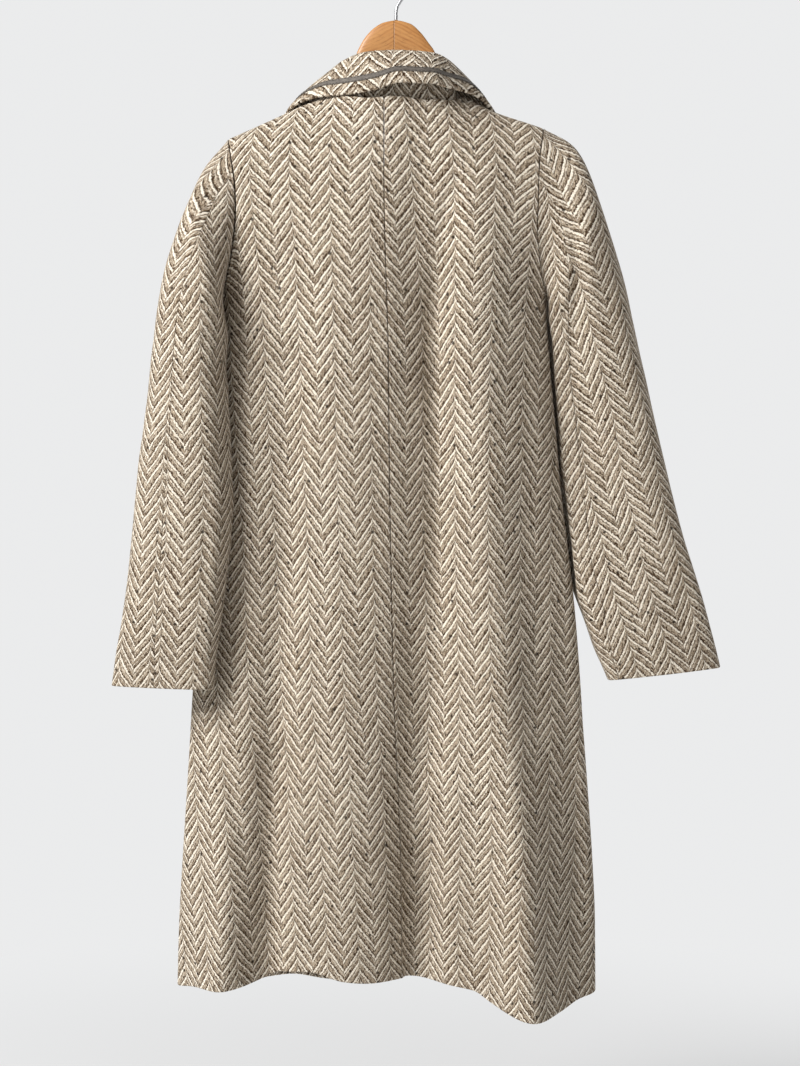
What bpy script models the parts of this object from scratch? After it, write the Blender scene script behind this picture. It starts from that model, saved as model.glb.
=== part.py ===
# Knee-length pea coat hanging from a wooden hanger.
# Millimetres throughout, made into metres as each mesh is built. X is the
# wearer's left, the fronts face -Y, and "drop" is the distance below the
# inside top of the hook, which is the origin.
import math

import bpy
import numpy as np

MM = 0.001
CLOTH = 3.0  # wall of the cloth
SEAM = 0.17  # each edge stops this short of its seam
ARMHOLE_GAP = 0.7  # sleeve to armhole
ARMPIT = 411.0  # drop of the armpits
LEFT, RIGHT = 1, -1
BACK, FRONT = 1, -1

CLOTH_COLOUR = (0.33, 0.28, 0.22, 1)
TAPE_COLOUR = (0.15, 0.13, 0.12, 1)
WOOD_COLOUR = (0.55, 0.28, 0.11, 1)
STEEL_COLOUR = (0.6, 0.6, 0.6, 1)
BUTTON_COLOUR = (0.05, 0.035, 0.025, 1)


def between(keys, values, at):
    """Value at each place of a smooth curve through a short table."""
    keys, values = np.asarray(keys, float), np.asarray(values, float)
    at = np.clip(np.asarray(at, float), keys[0], keys[-1])
    step = np.diff(keys)
    slope = np.diff(values) / step
    tangent = np.empty_like(values)
    tangent[0], tangent[-1] = slope[0], slope[-1]
    same = slope[:-1] * slope[1:] > 0
    total = np.where(same, slope[:-1] + slope[1:], 1)
    tangent[1:-1] = np.where(same, 2 * slope[:-1] * slope[1:] / total, 0)
    k = np.clip(np.searchsorted(keys, at, "right") - 1, 0, len(keys) - 2)
    h = step[k]
    s = (at - keys[k]) / h
    start = (1 + 2 * s) * (1 - s) ** 2 * values[k] + s * (1 - s) ** 2 * h * tangent[k]
    end = s * s * (3 - 2 * s) * values[k + 1] + s * s * (s - 1) * h * tangent[k + 1]
    return start + end


class Table:
    """Rows read by column name, smoothly between one row and the next."""

    def __init__(self, columns, *rows):
        self.column = dict(zip(columns.split(), np.array(rows, float).T))
        self.key = columns.split()[0]

    def at(self, name, key):
        return between(self.column[self.key], self.column[name], key)


# Ridge of the shoulders, from the right shoulder to the left one.
RIDGE = Table(
    "x drop",
    (-260, 245), (-174, 206.7), (-110, 184.5), (-85, 170), (-65, 150), (-45, 124),
    (0, 92.6), (45, 122), (85, 165), (127, 187), (199, 219.7), (260, 248),
)
# Side edges of the body. Above the armpit the widths are those of the curve
# that the armhole cuts.
SIDES = Table(
    "drop left right",
    (200, 320, -292), (260, 284, -258), (300, 262, -236), (330, 243, -217),
    (360, 226, -200), (385, 213, -187), (400, 207, -181), (411, 205, -177.5), (484, 211, -182), (563, 217, -189), (642, 223, -196),
    (732, 230, -207), (783, 234, -212.3), (830, 237.5, -216),
    (873, 241, -219), (907, 243, -221), (954, 245.6, -224.5),
    (1072, 252.5, -232.5), (1144, 256, -235.5), (1240, 258, -236),
)
DEPTHS = Table(
    "drop back front", (150, 66, 60), (300, 66, 60), (411, 64, 60),
    (563, 60, 58), (732, 56, 58), (907, 54, 58), (1072, 54, 60), (1240, 57, 64),
)
SIDE_SEAMS = Table("drop left right", (150, 0, 0), (411, 0, 0), (900, 0, 0), (1240, 12, 2))
CENTRE_BACK = Table(
    "drop x", (120, 13.8), (264, 13.8), (418, 10.4), (464, 8.9), (648, 6.9),
    (765, 4.8), (878, 2.3), (1062, -5.2), (1240, -7.4),
)
CENTRE_FRONT = 9.0
ARMHOLES = Table(
    "drop left right", (200, 199.5, -175.5), (219.7, 198.3, -172.8), (248, 193.5, -168.3),
    (285, 187.5, -166), (310, 186.4, -165.3), (330, 187.5, -164.4),
    (358, 191.2, -166.5), (385, 198, -170.5), (411, 205, -177.5),
)
BACK_HEM = Table(
    "x drop", (-240, 1226), (-214, 1231), (-190, 1237), (-168, 1238.5),
    (-145, 1236.5), (-125, 1232), (-108, 1224.5), (-88, 1213), (-35, 1206),
    (-5, 1203.6), (28, 1203), (60, 1199.5), (100, 1190), (135, 1193.5), (149, 1201),
    (178, 1207), (211, 1209), (240, 1213), (260, 1218),
)
FRONT_HEM = Table(
    "x drop", (-240, 1226), (-150, 1229), (-50, 1223), (30, 1223), (70, 1227), (110, 1228),
    (200, 1223), (260, 1218),
)
FULLNESS = 0.8  # how square the body's cross-section is

# Long folds of the back and front: where each runs, how far it stands out
# (minus for a valley) and how wide it is.
BACK_FOLDS = (
    Table("drop x out wide", (230, -33, -3, 28), (350, -33, -9, 30), (500, -37, -12, 30),
          (700, -39, -13, 30), (850, -30, -18, 30), (1000, -24, -26, 30), (1240, -20, -32, 30)),
    Table("drop x out wide", (230, 55, 2, 40), (400, 58.7, 6, 42), (800, 60, 9, 42),
          (1000, 62, 10, 38), (1240, 66, 8, 34)),
    Table("drop x out wide", (230, -95, 1, 35), (400, -104, 8, 38), (700, -112, 14, 38),
          (900, -125, 26, 38), (1050, -143, 42, 38), (1240, -156, 62, 38)),
    Table("drop x out wide", (300, 125, 0, 22), (500, 131, -6, 22), (700, 133, -10, 21),
          (900, 140, -14, 20), (1050, 146, -17, 19), (1240, 148, -18, 19)),
    Table("drop x out wide", (850, 205, 0, 26), (1000, 205, 14, 27), (1240, 206, 50, 30)),
    Table("drop x out wide", (600, -190, 0, 14), (750, -195, -5, 14), (1000, -213, -9, 14),
          (1240, -220, -10, 14)),
)
FRONT_FOLDS = (
    Table("drop x out wide", (450, -118, 0, 34), (650, -120, 5, 36), (900, -126, 14, 38),
          (1240, -138, 30, 40)),
    Table("drop x out wide", (600, -52, 0, 30), (900, -55, -8, 30), (1240, -60, -18, 30)),
    Table("drop x out wide", (450, 112, 0, 32), (700, 112, 8, 34), (1000, 118, 18, 36),
          (1240, 126, 28, 36)),
    Table("drop x out wide", (700, 40, 0, 26), (1000, 44, -8, 28), (1240, 48, -14, 28)),
    Table("drop x out wide", (700, 178, 0, 18), (1000, 182, -7, 19), (1240, 186, -12, 20)),
)

# Fronts: neck point, how far each passes the centre, and the under front's drop inwards.
NECK = {LEFT: 85.0, RIGHT: -85.0}
NECK_TURN = 43.0  # degrees round the shoulder to the back of the neck
OVERLAP = 80.0
UNDER = 5.5
UNDER_FADE = 40.0

# Sleeves, by length down the outer edge: the outer and inner edge of each
# section, and how deep it is behind and in front of the line between them.
SLEEVES = {
    LEFT: Table(
        "along ox oy od ix iy id behind before",
        (0, 198.3, 0, 219.7, 205, 0, 411, 55, 50),
        (50, 226.7, 4, 259.7, 210, 12, 419, 54, 55),
        (108, 245, 8, 315, 204.5, 32, 434, 57, 56),
        (160, 259.6, 12, 365.4, 199, 46, 456, 55, 54),
        (206, 270, 15, 410, 198, 49, 484, 52, 50),
        (268, 278.4, 18, 471, 196, 52, 522, 48, 44),
        (338, 285.5, 20, 541.6, 194, 54, 577, 44, 40),
        (410, 296, 20, 612, 192.5, 55, 636, 42, 37),
        (481, 303.1, 20, 682.5, 195, 58, 700, 38, 34),
        (534, 310, 20, 735, 199.5, 59, 748, 34, 31),
        (588, 318.3, 20, 788.2, 204.5, 58, 797, 30, 27),
        (624, 325.4, 20, 823.4, 208, 56, 830, 26, 24),
        (666, 332.4, 20, 864.5, 210.5, 53, 866.5, 21, 20),
    ),
    RIGHT: Table(
        "along ox oy od ix iy id behind before",
        (0, -172.8, 0, 206.7, -177.5, 0, 411, 55, 50),
        (50, -209.8, 1, 228, -180, -8, 419, 54, 50),
        (108, -241.9, 2, 296.9, -178, -22, 437, 56, 50),
        (175, -263.2, 2, 362.1, -174, -32, 460, 53, 48),
        (212, -272.7, 2, 397.7, -172, -36, 482, 50, 46),
        (270, -284.6, 1, 454.7, -172, -38, 520, 46, 44),
        (350, -302.4, 0, 533, -177, -36, 583, 42, 41),
        (430, -321.4, -1, 612.4, -185, -28, 650, 38, 38),
        (514, -342.7, -2, 694.3, -196, -14, 722, 33, 34),
        (575, -360.5, -2, 752.4, -217, -1, 772, 29, 31),
        (640, -378.3, -2, 816.5, -238, 2, 830, 25, 26),
        (670, -385.4, -2, 845, -251.4, 3, 860.4, 21, 21),
    ),
}
SLEEVE_ROUND = 0.86  # how square a sleeve's section is
ELBOW = Table("along left right", (0, 98, 98), (60, 90, 98), (110, 86, 100), (300, 84, 104),
              (480, 84, 118), (670, 88, 150))
FOREARM = 245.0  # degrees round the sleeve from its outer edge
SLEEVE_CLEAR = 4.0

# Collar, from the centre back to each point: its outer edge and its roll line.
COLLARS = {
    LEFT: Table(
        "step ex ey ed tx ty td",
        (0, 0, 60, 170, 0, 42, 127.5), (1, 28, 52, 177, 24, 40, 127.5),
        (2, 50, 42, 178, 42, 33, 128), (3, 72, 33, 177, 54, 22, 129.5),
        (4, 95, 22, 175.5, 63, 10, 130.5), (5, 127, 3, 182, 67, -5, 134),
        (6, 141, -36, 208, 70, -24, 156), (7, 126, -60, 240, 60, -42, 180),
    ),
    RIGHT: Table(
        "step ex ey ed tx ty td",
        (0, 0, 60, 170, 0, 42, 127.5), (1, -28, 60, 170.5, -24, 40, 127.5),
        (2, -43, 58, 169.5, -44, 33, 127.5), (3, -60, 46, 171, -55, 22, 129),
        (4, -87, 24, 171, -62, 10, 130.5), (5, -110, 2, 178, -65, -5, 134),
        (6, -130, -36, 206, -69, -24, 156), (7, -123, -60, 240, -60, -42, 180),
    ),
}
COLLAR_ROLL = 6.5  # half the width of the roll
COLLAR_BULGE = 4.0
FOOT_GAP = 1.2  # collar to neck seam
COLLAR_STEPS = 15  # to each side of the centre back
COLLAR_ACROSS = 11
COLLAR_FRONT = 0.2  # where it ends, down the roll line of the lapel
TAPE_INSIDE = 16.5  # middle of the tape to the collar's edge
TAPE_WIDTH = 4.5
TAPE_THICK = 0.8
RESTING = 0.6  # gap under a piece that lies on a panel

# Lapels: how far out from the roll line and how far down the outer edge is.
LAPELS = {
    LEFT: (0.27, 0.47, Table("down out low", (0, 78, 58), (0.35, 84, 44), (0.7, 48, 14), (1, 7, 1))),
    RIGHT: (0.27, 0.99, Table("down out low", (0, 78, 58), (0.3, 88, 42), (0.6, 66, 18), (1, 7, 1))),
}
LAPEL_LIFT = 3.0

BUTTON_RADIUS = 14.0
BUTTON_THICK = 4.5
BUTTON_COLUMNS = (-55.0, 55.0)
BUTTON_ROWS = (455.0, 575.0, 695.0)

WOOD_HALF = 6.0
WOOD_JOINT = 2.5
WOOD = Table(
    "x top bottom", (-168, 219, 232), (-150, 209.5, 229), (-110, 193, 216),
    (-85, 182, 207), (-68, 170, 198), (-56, 149, 186), (-50, 130, 180), (-45.7, 115.3, 176),
    (-38.4, 104.7, 168), (-29.5, 93, 162), (-16.5, 82, 155),
    (0, 78.2, 152), (14.4, 80.6, 154), (25, 86.4, 159), (35.7, 97.2, 165), (45.2, 113.6, 174),
    (50, 127, 179), (56, 145, 185), (68, 165, 194), (85, 179, 204), (127, 199, 223),
    (170, 219, 240), (192, 231, 243),
)
HOOK_WIRE = 2.0
HOOK_RADIUS = 20.0
HOOK_FOOT = 77.8

UPPER_ROWS, LOWER_ROWS, COLUMNS = 11, 17, 14
SLEEVE_STATIONS = (0, 14, 30, 48, 68, 90, 116, 146, 180, 218, 258, 300, 345, 390, 435, 480,
                   520, 556, 590, 620, 645, 1000)


def unit(vectors):
    return vectors / np.maximum(np.linalg.norm(vectors, axis=-1, keepdims=True), 1e-9)


def of_side(table, side, drop):
    return np.where(side > 0, table.at("left", drop), table.at("right", drop))


def fold_height(folds, x, drop):
    height = np.zeros(np.broadcast(x, drop).shape)
    for fold in folds:
        away = (x - fold.at("x", drop)) / fold.at("wide", drop)
        height = height + fold.at("out", drop) * np.exp(-away * away)
    return height


def body_depth(face, x, drop):
    """How far the body stands out from its side seams at a place."""
    middle = CENTRE_BACK.at("x", drop) if face == BACK else CENTRE_FRONT
    side = np.where(x >= middle, 1, -1)
    width = np.abs(of_side(SIDES, side, drop) - middle)
    u = np.clip(np.abs(x - middle) / width, 0, 1)
    ridge = RIDGE.at("drop", x)
    fall = np.clip((drop - ridge) / (ARMPIT - ridge), 0, 1)
    shoulder = np.sqrt(1 - (1 - fall) ** 2)
    depth = DEPTHS.at("back" if face == BACK else "front", drop)
    folds = fold_height(BACK_FOLDS if face == BACK else FRONT_FOLDS, x, drop)
    return (depth * (1 - u * u) ** (FULLNESS / 2) + folds * (1 - u**6)) * shoulder


def body_y(face, x, drop, under=False):
    middle = CENTRE_FRONT if face == FRONT else CENTRE_BACK.at("x", drop)
    seam = of_side(SIDE_SEAMS, np.where(x >= middle, 1, -1), drop)
    depth = body_depth(face, x, drop)
    if under:
        edge = CENTRE_FRONT + OVERLAP + UNDER_FADE
        s = np.clip((edge - x) / UNDER_FADE, 0, 1)
        down = np.clip((drop - 230) / 50, 0, 1)
        depth = depth - UNDER * s * s * (3 - 2 * s) * down
    return face * depth + seam


def body_points(face, side, a, v):
    """Points of one half of the body. a runs from the centre to the side and v
    from the top edge to the armpit (1) and to the hem (2)."""
    a, v = np.broadcast_arrays(np.asarray(a, float), np.asarray(v, float))
    shoulder = of_side(ARMHOLES, side, 0)
    shoulder_drop = RIDGE.at("drop", shoulder)
    hem = BACK_HEM if face == BACK else FRONT_HEM
    far_edge = CENTRE_FRONT - side * OVERLAP

    # Above the armpit.
    t = np.clip(v, 0, 1)
    edge_drop = shoulder_drop + (ARMPIT - shoulder_drop) * (1 - np.cos(t * math.pi / 2))
    outer = of_side(ARMHOLES, side, edge_drop)
    neck_column = 5 / COLUMNS
    if face == BACK:
        centre = CENTRE_BACK.at("x", 180)
        top_x = np.where(
            a < neck_column,
            centre + (NECK[side] - centre) * a / neck_column,
            NECK[side] + (shoulder - NECK[side]) * (a - neck_column) / (1 - neck_column),
        )
        round_neck = np.sqrt(np.clip(1 - (top_x / NECK[side]) ** 2, 0, 1))
        round_neck = np.where(a < neck_column, round_neck, 0)
        turn = math.radians(NECK_TURN) * round_neck * (1 - t) + t * math.pi / 2
        centre_drop = 92.6 + (ARMPIT - 92.6) * (1 - np.cos(np.minimum(turn, math.pi / 2)))
        inner = CENTRE_BACK.at("x", centre_drop)
        start = np.zeros_like(a)
    else:
        top_x = NECK[side] + (shoulder - NECK[side]) * a
        turn = t * math.pi / 2
        inner = NECK[side] + (far_edge - NECK[side]) * (1 - np.cos(turn))
        middle_width = np.abs(of_side(SIDES, side, ARMPIT) - CENTRE_FRONT)
        start = np.full_like(a, -math.asin(OVERLAP / middle_width))
    top_share = (top_x - top_x[..., :1]) / (top_x[..., -1:] - top_x[..., :1])
    if a.shape[-1] < 2 or not (a.min() == 0 and a.max() == 1):
        first = CENTRE_BACK.at("x", 180) if face == BACK else NECK[side]
        top_share = (top_x - first) / (shoulder - first)
    low_share = (np.sin(start + (math.pi / 2 - start) * a) - np.sin(start)) / (1 - np.sin(start))
    blend = t * t * (3 - 2 * t)
    share = top_share * (1 - blend) + low_share * blend
    x = inner + (outer - inner) * share
    ridge = RIDGE.at("drop", x)
    drop = ridge + (ARMPIT - ridge) * (1 - np.cos(turn))

    # Below it.
    b = np.clip(v - 1, 0, 1)
    low_drop = ARMPIT + (hem.at("drop", x) - ARMPIT) * b
    low_x = x
    for _ in range(4):
        far = of_side(SIDES, side, low_drop)
        middle = CENTRE_BACK.at("x", low_drop) if face == BACK else CENTRE_FRONT
        width = np.abs(far - middle)
        start = 0 if face == BACK else -np.arcsin(OVERLAP / width)
        low_x = middle + side * width * np.sin(start + (math.pi / 2 - start) * a)
        low_drop = ARMPIT + (hem.at("drop", low_x) - ARMPIT) * b
    low = v > 1
    x, drop = np.where(low, low_x, x), np.where(low, low_drop, drop)
    under = face == FRONT and side == LEFT
    return np.stack([x, body_y(face, x, drop, under), -drop], axis=-1)


def normals_of(points, wrap=False):
    """Unit normals of a grid of points, by its own rows and columns."""
    if wrap:
        wide = np.concatenate([points[:, -2:-1], points, points[:, 1:2]], axis=1)
        along = (wide[:, 2:] - wide[:, :-2]) / 2
    else:
        along = np.gradient(points, axis=1)
    return unit(np.cross(np.gradient(points, axis=0), along))


def without(vectors, direction):
    """The vectors with what lies along a direction taken out."""
    direction = unit(np.asarray(direction, float))
    return unit(vectors - (vectors @ direction)[..., None] * direction)


def inset(points, gap=SEAM, first_row=False, last_row=False, first_column=False, last_column=False):
    """The grid with the chosen edges drawn back from their seams."""
    points = points.copy()
    for wanted, edge, next_in in (
        (first_row, points[0], points[1]), (last_row, points[-1], points[-2]),
        (first_column, points[:, 0], points[:, 1]), (last_column, points[:, -1], points[:, -2]),
    ):
        if wanted:
            edge += gap * unit(next_in - edge)
    return points


def material(name, colour, rough, metal=0.0):
    made = bpy.data.materials.get(name) or bpy.data.materials.new(name)
    made.use_nodes = True
    shader = made.node_tree.nodes["Principled BSDF"]
    shader.inputs["Base Color"].default_value = colour
    shader.inputs["Roughness"].default_value = rough
    shader.inputs["Metallic"].default_value = metal
    made.diffuse_color = colour
    return made


def add(name, points, faces, surface, smooth=True):
    mesh = bpy.data.meshes.new(name)
    mesh.from_pydata([tuple(p) for p in np.asarray(points) * MM], [], faces)
    mesh.update()
    for polygon in mesh.polygons:
        polygon.use_smooth = smooth
    obj = bpy.data.objects.new(name, mesh)
    mesh.materials.append(surface)
    bpy.context.collection.objects.link(obj)
    return obj


def volume(points, faces):
    total = 0.0
    for face in faces:
        for k in range(1, len(face) - 1):
            corners = points[[face[0], face[k], face[k + 1]]]
            total += np.linalg.det(corners)
    return total


def wall(name, outer, inner, surface):
    """A closed sheet between two grids that have the same rows and columns."""
    rows, columns = outer.shape[:2]
    points = np.concatenate([outer.reshape(-1, 3), inner.reshape(-1, 3)])
    under = rows * columns
    faces = []
    for i in range(rows - 1):
        for j in range(columns - 1):
            corner = i * columns + j
            quad = (corner, corner + 1, corner + columns + 1, corner + columns)
            faces.append(quad)
            faces.append(tuple(under + k for k in reversed(quad)))
    rim = [j for j in range(columns)]
    rim += [i * columns + columns - 1 for i in range(1, rows)]
    rim += [(rows - 1) * columns + j for j in range(columns - 2, -1, -1)]
    rim += [i * columns for i in range(rows - 2, 0, -1)]
    for k, corner in enumerate(rim):
        following = rim[(k + 1) % len(rim)]
        low, high = sorted((corner, following))
        turn = 1 if low == corner else -1
        faces.append((high, low, under + high)[::turn])
        faces.append((low, under + low, under + high)[::turn])
    if volume(points, faces) < 0:
        faces = [tuple(reversed(face)) for face in faces]
    return add(name, points, faces, surface)


def lathe(name, profile, centre, axis, sides, surface):
    """A round body from (radius, height) pairs, closed by a middle point at each end."""
    axis = unit(np.asarray(axis, float))
    across = unit(np.cross(axis, (0.0, 0.3, 1.0)))
    other = np.cross(axis, across)
    points, faces = [], []
    for radius, height in profile:
        for k in range(sides):
            angle = 2 * math.pi * k / sides
            spoke = math.cos(angle) * across + math.sin(angle) * other
            points.append(centre + height * axis + radius * spoke)
    for i in range(len(profile) - 1):
        for k in range(sides):
            low, high = i * sides + k, i * sides + (k + 1) % sides
            faces.append((low, high, high + sides, low + sides))
    faces.append(tuple(reversed(range(sides))))
    faces.append(tuple((len(profile) - 1) * sides + k for k in range(sides)))
    return add(name, np.array(points), faces, surface)


# ---- body -------------------------------------------------------------

def body_grid(face, side):
    v = np.concatenate([np.linspace(0, 1, UPPER_ROWS + 1), 1 + np.arange(1, LOWER_ROWS + 1) / LOWER_ROWS])
    a = np.linspace(0, 1, COLUMNS + 1)
    points = body_points(face, side, a[None, :], v[:, None])
    normals = normals_of(points)
    if normals[UPPER_ROWS, 3, 1] * face < 0:
        normals = -normals
    normals[UPPER_ROWS + 1:, -1] = without(normals[UPPER_ROWS + 1:, -1], (0, 1, 0))
    first = 5 if face == BACK else 0
    normals[0, first:] = without(normals[0, first:], (0, 1, 0))
    if face == BACK:
        normals[:, 0] = without(normals[:, 0], (1, 0, 0))
    return points, normals


def armhole(side, grids):
    """The armhole's loop, from the shoulder down the back, round the armpit and
    up the front, with the body's own normals."""
    loop, normals = [], []
    back_points, back_normals = grids[BACK, side]
    front_points, front_normals = grids[FRONT, side]
    for i in range(UPPER_ROWS + 1):
        loop.append(back_points[i, -1])
        normals.append(back_normals[i, -1])
    for i in range(UPPER_ROWS - 1, -1, -1):
        loop.append(front_points[i, -1])
        normals.append(front_normals[i, -1])
    return np.array(loop), np.array(normals)


# ---- sleeves ----------------------------------------------------------

def inside_body(points, margin):
    x, y, drop = points[..., 0], points[..., 1], -points[..., 2]
    side = np.where(x > CENTRE_FRONT, 1, -1)
    seam = of_side(SIDE_SEAMS, side, drop)
    middle = CENTRE_BACK.at("x", drop)
    width = np.abs(of_side(SIDES, side, drop) - middle) + margin
    back = y >= seam
    depth = np.where(back, DEPTHS.at("back", drop), DEPTHS.at("front", drop)) + margin
    folds = np.where(back, fold_height(BACK_FOLDS, x, drop), fold_height(FRONT_FOLDS, x, drop))
    u = np.clip(np.abs(x - middle) / width, 0, 1)
    reach = depth * (1 - u * u) ** (FULLNESS / 2) + np.maximum(folds, 0) * (1 - u**6)
    return (np.abs(y - seam) < reach) & (np.abs(x - middle) < width) & (drop > ARMPIT - 4)


def clear_of_side(points, side, margin):
    """The points moved outwards, away from the body's core, until they clear it."""
    drop = -points[..., 2]
    core = np.stack([of_side(SIDES, side, drop) - side * 75, of_side(SIDE_SEAMS, side, drop),
                     points[..., 2]], axis=-1)
    away = unit(points - core)
    low = np.zeros(points.shape[:-1])
    high = np.full(points.shape[:-1], 70.0)
    held = inside_body(points, margin)
    for _ in range(14):
        half = (low + high) / 2
        still = inside_body(points + half[..., None] * away, margin)
        low, high = np.where(still, half, low), np.where(still, high, half)
    return points + np.where(held, high, 0)[..., None] * away


def oval(table, along, turns, side):
    """Points of one section of a sleeve, at the turns given in radians."""
    get = lambda name: table.at(name, along)
    outer = np.array([get("ox"), get("oy"), -get("od")])
    inner = np.array([get("ix"), get("iy"), -get("id")])
    deep = np.where(np.sin(turns) >= 0, get("behind"), get("before"))
    reach = deep * np.sign(np.sin(turns)) * np.abs(np.sin(turns)) ** SLEEVE_ROUND
    middle, half = (outer + inner) / 2, (outer - inner) / 2
    level = half * np.array([1, 1, 1])
    lean = unit(np.cross(unit(level), np.cross((0, 1, 0), unit(level))))
    points = middle + np.cos(turns)[:, None] * half + reach[:, None] * lean
    return points


def sleeve_grid(side, grids):
    loop, body_normals = armhole(side, grids)
    table = SLEEVES[side]
    length = table.column["along"][-1]
    base = np.linspace(0, 2 * math.pi, len(loop) + 1)
    rings = []
    first = oval(table, 0.0, base[:-1], side)
    for along in SLEEVE_STATIONS:
        along = min(along, length)
        elbow = math.radians(float(of_side(ELBOW, side, along)))
        plain = base[6 if side == RIGHT else 5]
        turns = np.interp(base, [0, plain, math.pi * 1.3, 2 * math.pi],
                          [0, elbow, math.pi * 1.3, 2 * math.pi])[:-1]
        fade = max(0.0, 1 - along / 110.0)
        share = fade * fade * (3 - 2 * fade)
        turns = base[:-1] * share + turns * (1 - share)
        ring = oval(table, along, turns, side) + (loop - first) * share
        if along > 30:
            ring = clear_of_side(ring, side, SLEEVE_CLEAR)
        rings.append(ring)
    rings = np.array(rings)
    points = np.concatenate([rings, rings[:, :1]], axis=1)
    normals = normals_of(points, wrap=True)
    middle = points[:, :-1].mean(axis=1, keepdims=True)
    if ((points[8] - middle[8]) * normals[8]).sum() < 0:
        normals = -normals
    # Where sleeve and armhole meet, both walls share one slant.
    own = normals[0, :-1]
    slant = (own[:, 0] + body_normals[:, 0]) / 2
    for k in range(len(loop)):
        if side * own[k, 0] > side * slant[k]:
            own[k, 0] = slant[k]
            body_normals[k, 0] = slant[k]
    normals[0, :-1] = unit(own)
    normals[0, -1] = normals[0, 0]
    points[0, :, 0] += side * ARMHOLE_GAP
    return points, normals, unit(body_normals)


def make_body_and_sleeves(cloth):
    grids = {(f, s): body_grid(f, s) for f in (BACK, FRONT) for s in (LEFT, RIGHT)}
    names = {LEFT: "left", RIGHT: "right"}
    for side in (LEFT, RIGHT):
        points, normals, body_normals = sleeve_grid(side, grids)
        for i in range(UPPER_ROWS + 1):
            grids[BACK, side][1][i, -1] = body_normals[i]
            if i < UPPER_ROWS:
                grids[FRONT, side][1][i, -1] = body_normals[-1 - i if i else 0]
            else:
                grids[FRONT, side][1][i, -1] = body_normals[UPPER_ROWS]
        elbow, forearm = (5, 15) if side == LEFT else (6, 15)
        count = points.shape[1] - 1
        for name, first, last in (("sleeve_under_", elbow, forearm), ("sleeve_top_", forearm, elbow + count)):
            columns = np.arange(first, last + 1) % count
            outer = points[:, columns]
            inner = outer - CLOTH * normals[:, columns]
            edges = dict(first_column=True, last_column=True)
            wall(name + names[side], inset(outer, **edges), inset(inner, **edges), cloth)
    for (face, side), (points, normals) in grids.items():
        edges = dict(last_column=True, first_column=face == BACK)
        first = 5 if face == BACK else 0
        outer, inner = points, points - CLOTH * normals
        outer, inner = inset(outer, **edges), inset(inner, **edges)
        outer[0, first:, 1] += face * SEAM
        inner[0, first:, 1] += face * SEAM
        wall(("back_" if face == BACK else "front_") + names[side], outer, inner, cloth)


# ---- collar, tape, lapels ----------------------------------------------

def clear_of_shoulders(points, margin):
    """Points above the shoulders and chest moved straight out until they clear them."""
    x, y, drop = points[..., 0], points[..., 1], -points[..., 2]
    ridge = RIDGE.at("drop", x)
    face_depth = np.where(y >= 0, body_depth(BACK, x, np.full_like(x, ARMPIT)),
                          body_depth(FRONT, x, np.full_like(x, ARMPIT)))
    tall = ARMPIT - ridge

    def held(p):
        a = np.abs(p[..., 1]) / (face_depth + margin)
        b = (ARMPIT + p[..., 2]) / (tall + margin)
        return a * a + b * b < 1

    away = unit(np.stack([np.zeros_like(x), y / face_depth**2, (ARMPIT - drop) / tall**2], axis=-1))
    low, high = np.zeros_like(x), np.full_like(x, 60.0)
    inside = held(points)
    for _ in range(14):
        half = (low + high) / 2
        still = held(points + half[..., None] * away)
        low, high = np.where(still, half, low), np.where(still, high, half)
    return points + np.where(inside, high, 0)[..., None] * away


def neck_edge(side, step):
    """The neck seam's place at a step of the collar, and which way is out."""
    if step <= 5:
        turn = step / 5 * math.pi / 2
        x = NECK[side] * math.sin(turn) * 0.985
        tau = math.radians(NECK_TURN) * math.sqrt(max(0.0, 1 - (x / NECK[side]) ** 2))
        ridge = float(RIDGE.at("drop", x))
        drop = ridge + (ARMPIT - ridge) * (1 - math.cos(tau))
        y = float(body_y(BACK, x, drop))
    else:
        down = COLLAR_FRONT * ((step - 5) / 2) ** 1.3
        x = NECK[side] + (CENTRE_FRONT - side * OVERLAP - NECK[side]) * down
        ridge = float(RIDGE.at("drop", x))
        drop = ridge + (ARMPIT - ridge) * down
        y = float(body_y(FRONT, x, drop))
        x -= side * 4.4 * min(1, step - 5)
    out = np.array([x, y * 1.3, 0.0])
    return np.array([x, y, -drop]), out / np.linalg.norm(out)


def collar_profile(side, step):
    """One section of the collar, from its outer edge over the roll to the neck seam."""
    table = COLLARS[side]
    edge = np.array([table.at("ex", step), table.at("ey", step), -table.at("ed", step)])
    roll = np.array([table.at("tx", step), table.at("ty", step), -table.at("td", step)])
    seam, out = neck_edge(side, step)
    narrow = COLLAR_ROLL * (1 - 0.25 * max(0, step - 5) / 2)
    foot = seam - CLOTH * out + np.array([0, 0, FOOT_GAP])
    leaf = edge - roll
    lift = unit(np.cross(np.cross(leaf, (0, 0, 1.0)), leaf)) * COLLAR_BULGE
    if lift[2] < 0:
        lift = -lift
    outer_roll = roll + narrow * out * 0.9 + np.array([0, 0, -3.0])
    inner_roll = roll - narrow * out * 0.9 + np.array([0, 0, -3.5])
    keys = [edge, edge + (outer_roll - edge) * 0.35 + lift * 0.9,
            edge + (outer_roll - edge) * 0.7 + lift * 0.8, outer_roll, roll, inner_roll,
            inner_roll * 0.55 + foot * 0.45, foot]
    place = np.concatenate([[0], np.cumsum([np.linalg.norm(b - a) for a, b in zip(keys, keys[1:])])])
    wanted = np.interp(np.linspace(0, 7, COLLAR_ACROSS + 1),
                       range(8), place)
    return np.stack([between(place, [k[axis] for k in keys], wanted) for axis in range(3)], axis=-1)


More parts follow.
